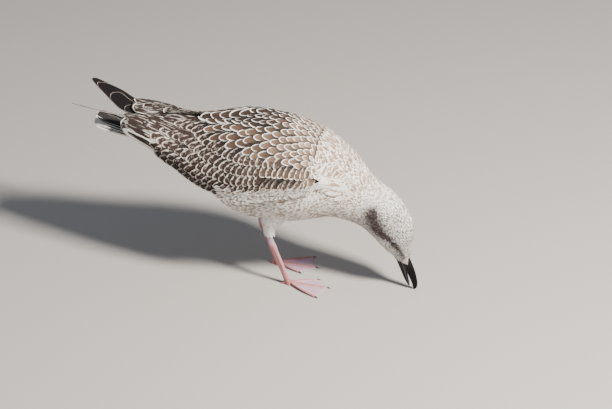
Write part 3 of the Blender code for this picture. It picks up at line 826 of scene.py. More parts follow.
def away_from_eyes(a, b):
    """True where the eyes and their rims are left bare of feathers."""
    spots = look_up(skin_sheet, "points", a, b)
    clear = np.ones(len(a), bool)
    for side in (-1, 1):
        height, away, _ = from_eye(spots, side)
        clear &= (away > 0.0046) | (height < 0)
    return clear


body_coat("head_coat", 13.95, 9.5,
          ((9.5, 0.0030, 0.0019, 0.0098, 0.0027), (14, 0.0014, 0.0011, 0.0042, 0.0015)),
          away_from_eyes, 7, 5, 0.09)
body_coat("neck_coat", 9.6, 6.7,
          ((7.0, 0.0052, 0.0042, 0.0185, 0.0062), (8.4, 0.0038, 0.0031, 0.0145, 0.0046),
           (9.6, 0.0028, 0.0020, 0.0100, 0.0028)),
          lambda a, b: a > 0, 7, 5, 0.10)
body_coat("breast_coat", 7.4, 4.6, ((6, 0.0050, 0.0044, 0.020, 0.0068),),
          lambda a, b: ~under_wing(a, b) & (np.abs(b) > np.interp(a, (6.6, 7.4), (1.05, 0.75))),
          8, 7, 0.09)
body_coat("belly_coat", 4.7, 0.05, ((2, 0.0056, 0.0048, 0.024, 0.0078),),
          lambda a, b: ~under_wing(a, b) & (np.abs(b) > 0.95), 8, 7, 0.09)

# Feathers of the bill's base: the smallest of the coat, pale with dark roots.
# They run out along the sides of both halves of the bill and end in a point.
for name, table, upper, stops in (
        ("upper", UPPER_HALF, True, ((0, 15, 35, 60, 90), (0.12, 0.17, 0.20, 0.08, -0.01))),
        ("lower", LOWER_HALF, False, ((0, 30, 60, 90), (0.10, 0.05, 0.0, -0.03)))):
    way_grid, turn_grid = np.linspace(-0.14, 0.4, 40), np.linspace(0.03, math.pi - 0.03, 41)
    side_sheet = sample(into_frame(bill_shape(table, upper, way_grid, turn_grid)[0]), way_grid, turn_grid)
    a, b = staggered(side_sheet, 0.24, -0.10, lambda a: 0.0011, lambda a: 0.0010, rng)
    height = np.degrees(np.minimum(b, math.pi - b))
    near = a < np.interp(height, *stops)
    a, b = a[near], b[near]
    base_vanes = lay_vanes(side_sheet, a, b, rng.normal(0, 0.16, len(a)), rng.uniform(0.0030, 0.0042, len(a)),
                           rng.uniform(0.0013, 0.0018, len(a)), -0.0001, rng.uniform(0.0003, 0.0006, len(a)),
                           dome=0.14, ragged=0.10, soft=0.7, rng=rng)
    paint_vanes(base_vanes, (0.20, 0.165, 0.145),
                np.array([0.60, 0.56, 0.53]) * rng.uniform(0.8, 1.05, (len(a), 1)),
                rng.uniform(0.05, 0.45, len(a)), 0.25, rng)
    join_vanes("bill_base_feathers_" + name, [base_vanes], contour_finish)

# ---------------------------------------------------------------- wings and back
# The folded wings lie along the back; mantle and shoulder feathers spread over both from the midline.
# One sheet, the cape, runs across the back from one wing's lower edge to the other's.

WING = (
    (63, -50, 196, -55, 191, -59, 186, -60, 180, -58, 174),
    (45, -40, 221, -54, 209, -65, 194, -70, 179, -65, 164),
    (0, -34, 238, -55, 223, -71, 202, -78, 179, -72, 156),
    (-55, -28, 244, -52, 230, -71, 204, -79, 174, -73, 146),
    (-105, -12, 238, -40, 226, -62, 208, -73, 182, -68, 158),
    (-148, -5, 236, -28, 228, -51, 216, -63, 199, -60, 182),
    (-185, -4, 231, -21, 236, -43, 230, -53, 217, -52, 203),
    (-212, -5, 229, -17, 236, -34, 236, -45, 227, -46, 216),
    (-224, -8, 231, -17, 236, -28, 237, -37, 232, -41, 225),
)
WING_DEPTH = (5.0, 9.0, 11.0, 12.0, 12.0, 9.0, 5.5, 3.5, 1.6)


def cape_rows():
    """Cross-sections of the cape in millimetres: 13 points from the left edge over the back to the right.

    Ahead of the wings they lie on the body; from there back they take the
    wing's five points, joined across the back by the body's own height.
    """
    tops = out_of_frame(body_surface(np.linspace(0, 8, 700), np.linspace(-1.4, 1.4, 281), np.zeros(700)))
    tops = tops.reshape(-1, 3)

    def body_top(x, y):
        """Height of the body at the sampled point nearest to (x, y)."""
        return tops[np.argmin((tops[:, 0] - x) ** 2 + (tops[:, 1] - y) ** 2), 2]

    halves = []
    for station, angles in ((7.62, (0, 21, 42, 53, 63, 73, 83)), (7.12, (0, 22, 46, 54, 62, 70, 77))):
        halves.append(out_of_frame(body_surface(np.array([station]), -np.radians(angles), np.zeros(1))[0]))
    for wing in WING:
        half_way = 0.5 * wing[1]
        crest = max(body_top(wing[0], 0) + 0.5, wing[2] - 0.5 if wing[0] < -120 else 0.0)
        slope = max(body_top(wing[0], half_way) + 0.7, 0.5 * (crest + wing[2]) if wing[0] < -120 else 0.0)
        points = [(wing[0], 0, crest), (wing[0], half_way, slope)]
        points += [(wing[0], wing[1 + 2 * k], wing[2 + 2 * k]) for k in range(5)]
        halves.append(np.array(points, float))
    return np.array([np.concatenate([half[:0:-1], half * [1, -1, 1]]) for half in halves])


CAPE = cape_rows()


def cape_surface(a, b):
    """Points of the cape for every pair: a counts its rows tailwards, b runs from -6 on the right to 6.

    A smooth curve runs through the rows at a, and another through its 13 points at b.
    """
    rows = read_table(CAPE.reshape(len(CAPE), -1), a).reshape(-1, 13, 3)
    return into_frame(np.array([read_table(row, b + 6) for row in rows]))


cape_a, cape_b = np.linspace(0, 10, 161), np.linspace(-6, 6, 193)
cape = sample(cape_surface(cape_a, cape_b), cape_a, cape_b)


def closed_sheet(name, outer, inner):
    """A closed mesh between two grids of the same size, joined round their edges."""
    rows, columns = outer.shape[:2]
    points = np.concatenate([outer.reshape(-1, 3), inner.reshape(-1, 3)])
    corner = np.arange(rows * columns).reshape(rows, columns)
    sheet = quads(corner).reshape(-1, 4)
    edge = np.concatenate([corner[0], corner[1:, -1], corner[-1, -2::-1], corner[-2:0:-1, 0]])
    after = np.roll(edge, -1)
    rim = np.stack([edge, edge + rows * columns, after + rows * columns, after], 1)
    return smooth_mesh(name, points, np.concatenate([sheet, sheet[:, ::-1] + rows * columns, rim]).tolist())


# The folded limb itself: a dark pad under the cape, deepest along its middle and thin at its edges.
# Only slivers of it show between the feathers that are rooted in it; its dark brown is painted shade, so that
# they read as the shade in the gaps.
wing_flesh_painted_shade = plain_finish("wing_flesh_painted_shade", (0.035, 0.024, 0.019), 0.85)
for side, title in ((-1, "right"), (1, "left")):
    pad_a = np.linspace(2.05, 10, 90)
    pad_b = np.linspace(2.12, 5.88, 34)
    spread_a, spread_b = np.meshgrid(pad_a, side * pad_b, indexing="ij")
    surface = on_sheet(cape, spread_a, spread_b)
    inward = -look_up(cape, "normal", spread_a, spread_b)
    depth = np.interp(pad_a - 2, np.arange(9), WING_DEPTH)[:, None] * 0.001
    rounded = np.sin(np.pi * (pad_b - 2) / 4)[None] ** 0.5
    deep = (0.0014 + (depth - 0.0014) * rounded)[..., None]
    skin_in = np.minimum(0.0038, 0.85 * deep)
    outer, inner = surface + inward * skin_in, surface + inward * deep * 0.97
    if side < 0:
        outer, inner = outer[:, ::-1], inner[:, ::-1]
    pad = closed_sheet("wing_flesh_painted_shade_" + title, outer, inner)
    pad.data.materials.append(wing_flesh_painted_shade)
    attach(pad, "root")
    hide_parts("wing_" + title, "tertials_" + title)


def cape_border(a):
    """How far out from the midline the shoulder feathers reach, in the cape's b."""
    return np.interp(a, (0, 2.2, 2.7, 3, 4, 4.7, 5.3, 5.7, 6.1, 6.5, 8),
                     (2.6, 2.6, 3.2, 3.65, 3.73, 3.73, 3.55, 3.3, 2.95, 2.4, 2.2))


def outwards(b, degrees):
    """Heading that turns a feather away from the midline by an angle."""
    return -np.sign(b) * np.radians(degrees)


# Shoulder feathers: soft brown scales with broad pale fringes, rooted in the back and the upper arm.
# They grow larger and darker towards the tail, and each row hides the roots of the next.
# The root halves of the shoulder feathers are painted darker as painted shade.
back_finish = feather_finish("shoulder_feather_finish", 0.42, roughness=0.8, wander=0.07, painted_shade_from=0.54,
                             inner=0.35, aspect=0.215)
BACK_ROWS = (0, 2, 3, 4, 5, 6)
a, b = staggered(cape, 0.3, 6.55, lambda a: 0.001 * np.interp(a, BACK_ROWS, (4.4, 5.4, 7.6, 10.6, 13.2, 14.2)),
                 lambda a: 0.001 * np.interp(a, BACK_ROWS, (5.2, 6.2, 9.2, 13.2, 16.0, 17.0)), rng,
                 scatter=0.10)
inside = (np.abs(b) < cape_border(a) + 0.05) & (rng.uniform(0, 1, len(a)) < np.interp(a, (0.2, 1.6), (0.3, 1)))
a, b = a[inside], b[inside]
front = np.clip(1 - a / 2.6, 0, 1)
a, b = a + rng.normal(0, 0.16, len(a)) * front, b + rng.normal(0, 0.10, len(a)) * front
streaked = a < 1.9 + rng.normal(0, 0.35, len(a))
mantle_a, mantle_b = a[streaked], b[streaked]
a, b, front = a[~streaked], b[~streaked], front[~streaked]
vary = rng.uniform(0.93, 1.08, len(a))
length = 0.001 * np.interp(a, BACK_ROWS, (23, 27, 31, 37, 44, 47)) * vary
width = 0.001 * np.interp(a, BACK_ROWS, (6.0, 7.4, 10.8, 15.0, 18.0, 19.0)) * vary
side_turn = outwards(b, np.interp(np.abs(b), (0, 1, 2.5, 3.6), (0, 6, 14, 20))) + rng.normal(0, 0.05, len(a))
shoulders = lay_vanes(cape, a, b, side_turn, length, width, -0.0022, -0.0002, rows=16, columns=9,
                      round_from=0.42, dome=0.20, curl=0.0003, ragged=0.008, soft=0.25, towards=1.0, anchor=1.0,
                      rng=rng)
old = np.clip((a - 1.3) / 3.4, 0, 1) ** 0.9
tone = mix((0.46, 0.315, 0.22), (0.100, 0.058, 0.038), old) * rng.uniform(0.65, 1.4, (len(a), 1))
tone *= 1 - 0.7 * np.clip((a - 3.4) / 1.4, 0, 1)[:, None] * np.clip(2.7 - np.abs(b), 0.2, 1)[:, None]
edge = mix((0.80, 0.775, 0.745), (0.78, 0.745, 0.70), old)
size = np.interp(a, (0, 1, 2, 3, 4, 6), (0.60, 0.66, 0.73, 0.78, 0.80, 0.81))
size *= rng.uniform(0.97, 1.02, len(a)) * (1 - rng.uniform(0, 0.45, len(a)) * front)
paint_vanes(shoulders, tone, edge, size, 0.07 + 0.45 * front, rng)
join_vanes("shoulder_feathers", [shoulders], back_finish, cells=True)

# Wing coverts: five ranks of narrow dark feathers with buff fringes, rooted in the folded arm.
# They are steeply turned at the front of the wing and lie along it behind; the lowest rank is laid first.
# The root halves of the coverts are painted darker as painted shade.
covert_finish = feather_finish("covert_feather_finish", 0.5, notch=0.13, notch_count=4.2, roughness=0.8,
                               wander=0.11, painted_shade_from=0.38, spots=0.35, aspect=0.23)
COVERT_ROWS = (2.6, 4, 5.5, 7.5)
# The ranks end behind where the tertials take over: b of the end line, and a there.
cover_end_b = (2.2, 2.62, 2.88, 3.73, 4.48, 5.4, 6.0)
cover_end_a = (6.43, 6.8, 7.15, 7.55, 7.8, 7.8, 7.6)
for side, title in ((-1, "right"), (1, "left")):
    batches = []
    for share, first in ((0.97, 2.7), (0.80, 2.62), (0.59, 4.4), (0.37, 2.62), (0.14, 3.9)):
        track_a = np.linspace(first, 8.2, 400)
        edge_b = cape_border(track_a)
        track_b = edge_b + (6 - edge_b) * share
        track_a = track_a[track_a <= np.interp(track_b, cover_end_b, cover_end_a)]
        track_b = side * track_b[:len(track_a)]
        walk = on_sheet(cape, track_a, track_b)
        far = np.concatenate([[0], np.cumsum(np.linalg.norm(np.diff(walk, axis=0), axis=1))])
        spots = [far[-1]]
        while spots[-1] > 0:
            here = np.interp(spots[-1], far, track_a)
            spots.append(spots[-1] - 0.001 * np.interp(here, COVERT_ROWS, (7.2, 8.0, 9.0, 10.5)))
        spots = np.array(spots[-2::-1]) + rng.uniform(-0.0006, 0.0006, len(spots) - 1)
        a, b = np.interp(spots, far, track_a), np.interp(spots, far, track_b)
        vary = rng.uniform(0.93, 1.08, len(a))
        lie = np.interp(a, COVERT_ROWS, (62, 52, 34, 16))
        batch = lay_vanes(cape, a, b, outwards(b, lie) + rng.normal(0, 0.06, len(a)),
                          0.001 * np.interp(a, COVERT_ROWS, (27, 29, 33, 42)) * vary,
                          0.001 * np.interp(a, COVERT_ROWS, (13, 14, 15, 17)) * vary,
                          -0.0024, -0.0004, rows=13, columns=9, round_from=0.5, dome=0.12, curl=0.0002,
                          ragged=0.012, soft=0.25, towards=1.0, anchor=1.0,
                          bank=side * 0.0011 * np.interp(a, (2.6, 5, 7.5), (1, 0.8, 0.3)), rng=rng)
        old = np.clip((a - 2.9) / 2.2, 0, 1)
        tone = mix((0.105, 0.068, 0.047), (0.024, 0.013, 0.010), old) * rng.uniform(0.7, 1.35, (len(a), 1))
        edge = mix((0.55, 0.46, 0.37), (0.54, 0.47, 0.41), old)
        size = np.interp(a, (2.6, 4, 7.8), (0.70, 0.73, 0.80)) * rng.uniform(0.92, 1.06, len(a))
        low = np.clip((share - 0.7) / 0.25, 0, 1) * np.clip((a - 4.6) / 1.4, 0, 1)
        tone, edge = tone * (1 - 0.4 * low)[:, None], edge * (1 - 0.25 * low)[:, None]
        if share > 0.9:
            pale = np.clip((5.6 - a) / 0.8, 0, 1)
            edge = edge * (1 - pale)[:, None] + np.array([0.74, 0.72, 0.69]) * pale[:, None]
            size = size * (1 - 0.85 * pale)
        batches.append(paint_vanes(batch, tone, edge, size, 0.10, rng))
    join_vanes("covert_feathers_" + title, batches, covert_finish, cells=True)

# Soft feathers at the front of the wing: brown streaks on the mantle, a white fan over the bend of
# the wing, and flank feathers over its lower edge. They are loose and scattered, not in rows.
MANTLE_EXTRA, FAN_COUNT, FLANK_COUNT = 190, 120, 440
bend_finish = feather_finish("bend_feather_finish", 0.6, roughness=0.85, wander=0.16)
for side, title in ((-1, "right"), (1, "left")):
    own = mantle_b * side > 0
    a = np.concatenate([mantle_a[own], rng.uniform(0.2, 2.75, MANTLE_EXTRA)])
    b = np.concatenate([mantle_b[own] * side, rng.uniform(2.3, 4.1, MANTLE_EXTRA)])
    mantle = lay_vanes(cape, a, side * b,
                       outwards(side * b, np.interp(b, (0, 4), (0, 22))) + rng.normal(0, 0.09, len(a)),
                       np.interp(a, (0, 1.6), (0.0145, 0.0235)) * rng.uniform(0.85, 1.1, len(a)),
                       np.interp(a, (0, 1.6), (0.0046, 0.0074)) * rng.uniform(0.8, 1.1, len(a)),
                       rng.uniform(-0.0024, -0.0016, len(a)), rng.uniform(0.0, 0.0009, len(a)),
                       rows=11, columns=7, round_from=0.5, dome=0.18, curl=0.0004, ragged=0.02, soft=0.4,
                       towards=1.0, anchor=1.0, rng=rng)
    tone = mix((0.34, 0.235, 0.17), (0.24, 0.155, 0.108), np.clip(a / 2.4, 0, 1))
    tone = tone * rng.uniform(0.7, 1.3, (len(a), 1))
    edge = np.array([0.80, 0.775, 0.74]) * rng.uniform(0.93, 1.0, (len(a), 1))
    size = np.interp(a, (0, 2.6), (0.46, 0.64)) * rng.uniform(0.55, 1.2, len(a))
    paint_vanes(mantle, tone, edge, size, 0.28, rng)

    a = rng.uniform(-0.2, 1.5, FAN_COUNT)
    spray = rng.uniform(-1, 1, FAN_COUNT)
    b = 4.2 + spray * np.interp(a, (-0.2, 1.5), (0.25, 0.85))
    bend = lay_vanes(cape, a, side * b, outwards(side * b, 16 + 30 * spray) + rng.normal(0, 0.07, len(a)),
                     rng.uniform(0.024, 0.033, len(a)) * np.interp(spray, (-1, 0), (0.62, 1)),
                     rng.uniform(0.0034, 0.0050, len(a)),
                     rng.uniform(-0.0012, -0.0006, len(a)), rng.uniform(0.0004, 0.0014, len(a)),
                     rows=11, columns=7, round_from=0.6, dome=0.16, curl=0.0006, ragged=0.03, soft=0.4,
                     towards=1.0, rng=rng)
    tan = rng.uniform(0, 1, len(a)) < np.interp(b, (3.5, 4.1), (0.6, 0.22))
    tone = np.where(tan[:, None], [0.33, 0.23, 0.165], [0.62, 0.53, 0.46])
    edge = np.where(tan[:, None], [0.66, 0.58, 0.50], [0.82, 0.80, 0.775]) * rng.uniform(0.92, 1.0, (len(a), 1))
    paint_vanes(bend, tone, edge, np.where(tan, 0.45, 0.06) * rng.uniform(0.6, 1.2, len(a)), 0.22, rng)

    a = rng.uniform(0.9, 5.5, FLANK_COUNT)
    b = np.interp(a, (0.9, 1.8), (5.5, 6.15)) - 0.75 * rng.uniform(0, 1, FLANK_COUNT) ** 1.6
    flank = lay_vanes(cape, a, side * b, rng.normal(0.0, 0.14, len(a)) - side * 0.12,
                      rng.uniform(0.016, 0.023, len(a)), rng.uniform(0.0046, 0.0066, len(a)),
                      -0.0026, rng.uniform(-0.0002, 0.0011, len(a)), rows=9, columns=7, round_from=0.55,
                      dome=0.16, curl=0.0003, ragged=0.06, soft=0.5, towards=1.0, anchor=1.0, rng=rng)
    edge = np.array([0.78, 0.75, 0.71]) * rng.uniform(0.85, 1.0, (len(a), 1))
    paint_vanes(flank, (0.27, 0.20, 0.155), edge, rng.uniform(0.0, 0.62, len(a)), 0.22, rng)
    join_vanes("bend_feathers_" + title, [mantle, bend, flank], bend_finish)

# Tertials: the long dark feathers that close the folded wing behind, pale-edged at their tips.
# Each row gives the tip's place on the cape, the length, the width, the dark share and the turn outwards.
tertial_finish = feather_finish("tertial_feather_finish", 0.80, notch=0.03, notch_count=9.0, roughness=0.7,
                                wander=0.03, aspect=0.125, spots=0.50, spot_scale=(15.0, 9.0))
TERTIALS = {
    -1: ((9.6, 5.9, 0.108, 0.010, 0.72, 9), (10.0, 5.0, 0.112, 0.025, 0.91, 7),
         (10.1, 3.5, 0.108, 0.027, 0.92, 3), (9.2, 1.9, 0.090, 0.022, 0.94, 0)),
    1: ((9.6, 5.9, 0.108, 0.010, 0.72, 9), (10.0, 5.0, 0.112, 0.025, 0.91, 7),
        (10.1, 3.9, 0.108, 0.026, 0.91, 4), (9.8, 2.6, 0.098, 0.024, 0.92, 2),
        (8.8, 2.7, 0.082, 0.024, 0.91, 1), (7.75, 2.3, 0.068, 0.024, 0.90, 0)),
}


def thicken(thing, thickness, offset):
    """Give large feathers their real thickness: offset is -1 for all of it below the sheet, 0 for half."""
    solid = thing.modifiers.new("thickness", "SOLIDIFY")
    solid.thickness, solid.offset = thickness, offset


for side, title in ((-1, "right"), (1, "left")):
    tip_a, tip_b, long, wide, dark, turn = np.array(TERTIALS[side]).T
    count = len(tip_a)
    tertials = lay_vanes(cape, tip_a, side * tip_b, outwards(side * tip_b, turn), long, wide, -0.0035,
                         -0.0010 + 0.00022 * np.arange(count), rows=22, columns=9, round_from=0.80, dome=0.10,
                         curl=0.0003, soft=0.1, towards=1.0, anchor=1.0)
    tone = np.array([0.022, 0.0125, 0.0095]) * rng.uniform(0.9, 1.2, (count, 1))
    paint_vanes(tertials, tone, (0.80, 0.75, 0.68), dark, 0.025, rng)
    closing = join_vanes("tertials_" + title + "_feathers", [tertials], tertial_finish,
                         cells=True)
    thicken(closing, 0.0004, -1.0)

# ---------------------------------------------------------------- wing tips
# Primaries: stiff black flight feathers stacked in a narrow blade beyond the tertials.
# They are rooted in the wing's hand, inside the folded wing; each tip is thinly edged pale.

BLADE = (
    (-196, -4, 220, -190, -34, 226),
    (-233, -7, 225.5, -221, -30, 236),
    (-252, -16, 232.5, -244, -38, 243.5),
    (-268, -26, 240.5, -264, -42.5, 248.5),
    (-283, -35, 248, -282, -45.5, 253.5),
    (-292.5, -39.5, 252.5, -292.5, -46, 256),
)
flight_finish = feather_finish("flight_feather_finish", 0.74, roughness=0.5, wander=0.04, barbs=0.15)
flight_finish.node_tree.nodes["Principled BSDF"].inputs["Specular IOR Level"].default_value = 0.12


def blade_surface(a, b, side):
    """Middle sheet of a wing tip: a counts rows to the tip, b runs from its inner to its outer edge.

    A point is the straight blend, by b, of the two edge curves through BLADE.
    """
    rows = read_table(BLADE, a)[:, None]
    t = b[None, :, None]
    points = rows[..., :3] * (1 - t) + rows[..., 3:] * t
    return into_frame(points * [1, -side, 1])


# Each row gives a feather's tip along the blade, its place across it, its length, width and lift.
PRIMARIES = ((4.97, 0.55, 0.112, 0.034, -0.0006), (4.0, 0.36, 0.100, 0.030, -0.0002),
             (2.55, 0.30, 0.082, 0.021, 0.0002), (1.15, 0.26, 0.060, 0.017, 0.0006))
ROWS, COLUMNS = 24, 9
UPWARDS = np.array([0.0, 0.0, 1.0])
for side, title in ((-1, "right"), (1, "left")):
    blade_a, blade_b = np.linspace(0, 5, 60), np.linspace(0, 1, 15)
    blade = sample(blade_surface(blade_a, blade_b, side), blade_a, blade_b, UPWARDS)
    batches = []
    for tip, across, long, wide, lift in PRIMARIES:
        here = np.sin(np.linspace(0, 0.5 * math.pi, ROWS))
        start = max(tip - 5.2 * long / 0.112, -0.6)
        spine_a = start + (tip - start) * here
        vane_v = np.linspace(-1, 1, COLUMNS)
        beyond = np.clip((here - 0.74) / 0.26, 0, 1)
        outline = np.sqrt(np.clip(1 - beyond ** 2.4, 0.004, 1))
        room = np.linalg.norm(look_up(blade, "slope_b", spine_a, np.full(ROWS, 0.5)), axis=1)
        half = np.minimum(0.5 * wide * outline / room, 0.5 * outline)
        centre_b = across + (0.5 - across) * np.clip(1 - here * 1.3, 0, 1)
        centre_b = np.clip(centre_b, half * 0.98, 1 - half * 0.98)
        place_b = centre_b[:, None] + half[:, None] * vane_v
        place_a = np.broadcast_to(spine_a[:, None], place_b.shape)
        under = look_up(blade, "normal", place_a, place_b)
        points = on_sheet(blade, place_a, place_b) + under * (lift - 0.0004 * vane_v ** 2)[:, None]
        faces = quads(np.arange(ROWS * COLUMNS).reshape(ROWS, COLUMNS))[..., [0, 3, 2, 1]]
        vane = np.stack(np.broadcast_arrays(here[:, None], 0.5 + 0.5 * vane_v), -1)
        batch = {"points": points[None], "faces": faces[..., ::-side][None], "normals": under[None],
                 "home": np.array([[0.5, 0.5]]), "vane": vane[None]}
        batches.append(paint_vanes(batch, (0.0085, 0.0065, 0.0068), (0.26, 0.22, 0.20), 0.84, 0.10, rng))
    primaries = join_vanes("primaries_" + title, batches, flight_finish, cells=True)
    thicken(primaries, 0.00045, 0.0)
    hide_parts("wing_tip_" + title)

# ---------------------------------------------------------------- tail
# Twelve tail feathers rooted in the rump and closed into a short rounded fan under the wing tips.
# They are laid from the outermost pair inwards, so that the middle pair covers the rest.

TAIL = (
    (-205, 201.0, 7, 8, 20, 0),
    (-222, 206.0, 5.5, 5, 24, 0),
    (-240, 211.0, 4.0, 3.5, 24.5, 0),
    (-257, 216.0, 2.6, 2.2, 22, 0),
    (-266, 219.0, 1.8, 1.5, 16, 0),
    (-271, 220.5, 1.2, 1.0, 8, 0),
)
tail_finish = feather_finish("tail_feather_finish", 0.80, notch=0.10, notch_count=4.0, roughness=0.65,
                             wander=0.14)


def fan_surface(a, b):
    """Upper sheet of the closed tail: a is the way back from its root, b runs from edge to edge.

    The way to the side is the half width times the sine of 1.45 b over the
    sine of 1.45; the height falls by 0.16 of it times b to the power 2.2.
    """
    rows = read_table(TAIL, a * 5)
    x, z = rows[:, 0][:, None], (rows[:, 1] + rows[:, 2] * 0.45)[:, None]
    wide = np.interp(a, (0, 0.25, 0.6, 1), (19, 23, 24.5, 24.5))[:, None]
    y = wide * np.sin(b[None] * 1.45) / math.sin(1.45)
    z = z - 0.16 * wide * np.abs(b[None]) ** 2.2
    return into_frame(np.stack(np.broadcast_arrays(x, y, z), -1))


fan_a, fan_b = np.linspace(0, 1, 40), np.linspace(-1, 1, 41)
fan = sample(fan_surface(fan_a, fan_b), fan_a, fan_b, UPWARDS)
order = np.array([-5, 5, -4, 4, -3, 3, -2, 2, -1, 1, -0.3, 0.3])
place = order / 5.6
reach = np.sqrt(np.clip(1 - (place * 0.62) ** 2, 0, 1))
tail_feathers = lay_vanes(fan, 0.03 + 0.95 * reach, place * 0.95, 0.0 * place, 0.072 * reach, 0.0135,
                          -0.0045, -0.0028 + 0.00030 * np.arange(12), rows=22, columns=9, round_from=0.86,
                          dome=0.06, soft=0.1, towards=1.0, anchor=1.0)
outer = np.where(order < 0, np.clip((-order - 0.7) / 1.0, 0, 1), 0.4 * np.clip((order - 3.4) / 1.6, 0, 1))
paint_vanes(tail_feathers, mix((0.020, 0.016, 0.015), (0.05, 0.035, 0.028), outer), (0.76, 0.73, 0.69),
            0.93 - 0.62 * outer, 0.05, rng)
tail = join_vanes("tail_feathers", [tail_feathers], tail_finish, cells=True)
thicken(tail, 0.0005, -1.0)
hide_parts("tail")

# Undertail and rump coverts: soft pale feathers rooted in the end of the trunk, all round.
# They close the body over the root of the tail.
a, b = staggered(skin_sheet, 1.2, 0.0, lambda a: 0.0075, lambda a: 0.0075, rng)
cover = lay_vanes(skin_sheet, a, b, rng.normal(0, 0.08, len(a)), 0.034, 0.013, 0.0003, 0.0026, rows=8,
                  round_from=0.5, dome=0.15, ragged=0.02, soft=0.4, rng=rng)
back = np.clip((np.cos(b) - 0.1) * 2, 0, 1)
paint_vanes(cover, mix((0.50, 0.42, 0.36), (0.20, 0.14, 0.11), back), (0.78, 0.74, 0.69),
            0.18 + 0.22 * rng.uniform(0, 1, len(a)), 0.2, rng)
join_vanes("rump_feathers", [cover], contour_finish)

# ---------------------------------------------------------------- legs and feet
# Bare pink legs of horny skin over bone, with rows of scutes in front, feathered above the hock.
# Three webbed toes, each with a black claw, lie flat on the floor; the hind toe is a low knob behind.

TOE_LENGTH = 61.0
FAR_FOOT_BACK = 30.0


def leg_places(side):
    """Middle of the foot, foot of the shank, hock and top of the thigh in millimetres; side -1 is the right."""
    back = FAR_FOOT_BACK if side > 0 else 0.0
    hub = np.array([12.8 - back, side * 27.0, 6.2])
    return (hub, hub - [2.2, 0, 0], np.array([-10.6 - back, side * 30.0, 61.0]),
            np.array([-7.0 - back * 0.45, side * 33.0, 112.0]))


def tube_points(path, wide, deep, around):
    """Rings round a path: across it by wide times the cosine, fore and aft by deep times the sine."""
    line = np.gradient(path, axis=0)
    line /= np.linalg.norm(line, axis=1)[:, None]
    across = np.cross(line, [1.0, 0.0, 0.0])
    across /= np.linalg.norm(across, axis=1)[:, None]
    fore = np.cross(across, line)
    turn = np.linspace(0, 2 * math.pi, around, endpoint=False)
    return (path[:, None] + across[:, None] * (wide[:, None] * np.cos(turn))[..., None]
            + fore[:, None] * (deep[:, None] * np.sin(turn))[..., None])


def thigh_path(side, t):
    """Points from just above the hock (t = 0) up to the top of the thigh (t = 1), along a bend."""
    _, ankle, hock, root = leg_places(side)
    line = (hock - ankle) / np.linalg.norm(hock - ankle)
    start = hock + line * 0.35
    inside = np.minimum(t, 1)[:, None]
    bend = start * (1 - inside) ** 2 + (start + line * 24) * 2 * inside * (1 - inside) + root * inside ** 2
    return bend + np.maximum(t - 1, 0)[:, None] * 2 * (root - start - line * 24)


def leg_finish():
    """Flesh-pink horny skin, redder at the joints, with a soft sheen."""
    material, tree, shader = new_finish("leg_finish", {
        "Roughness": 0.5, "Subsurface Weight": 0.15, "Subsurface Radius": (0.003, 0.0012, 0.0008),
        "Subsurface Scale": 1.0})
    mottle = add_node(tree, "TexNoise", {"Vector": object_place(tree), "Scale": 260.0})
    shade = add_node(tree, "MapRange", {"Value": mottle, "To Min": 0.86, "To Max": 1.1})
    feed(tree, shader, {"Base Color": colour_mix(tree, 1.0, stored(tree, "tone"), shade, "MULTIPLY")})
    scales = add_node(tree, "TexVoronoi", {"Vector": object_place(tree), "Scale": 700.0}, "Distance",
                      feature="DISTANCE_TO_EDGE")
    relief(tree, shader, scales, 0.5, 0.0004)
    return material


leg_material = leg_finish()
claw_material = plain_finish("claw_horn", (0.03, 0.026, 0.026), 0.35, 900.0, 0.00005, 0.3)
SCUTE = 2.3
PINK = np.array([0.37, 0.140, 0.133])
PALE = np.array([0.44, 0.285, 0.36])
RED = np.array([0.27, 0.085, 0.078])


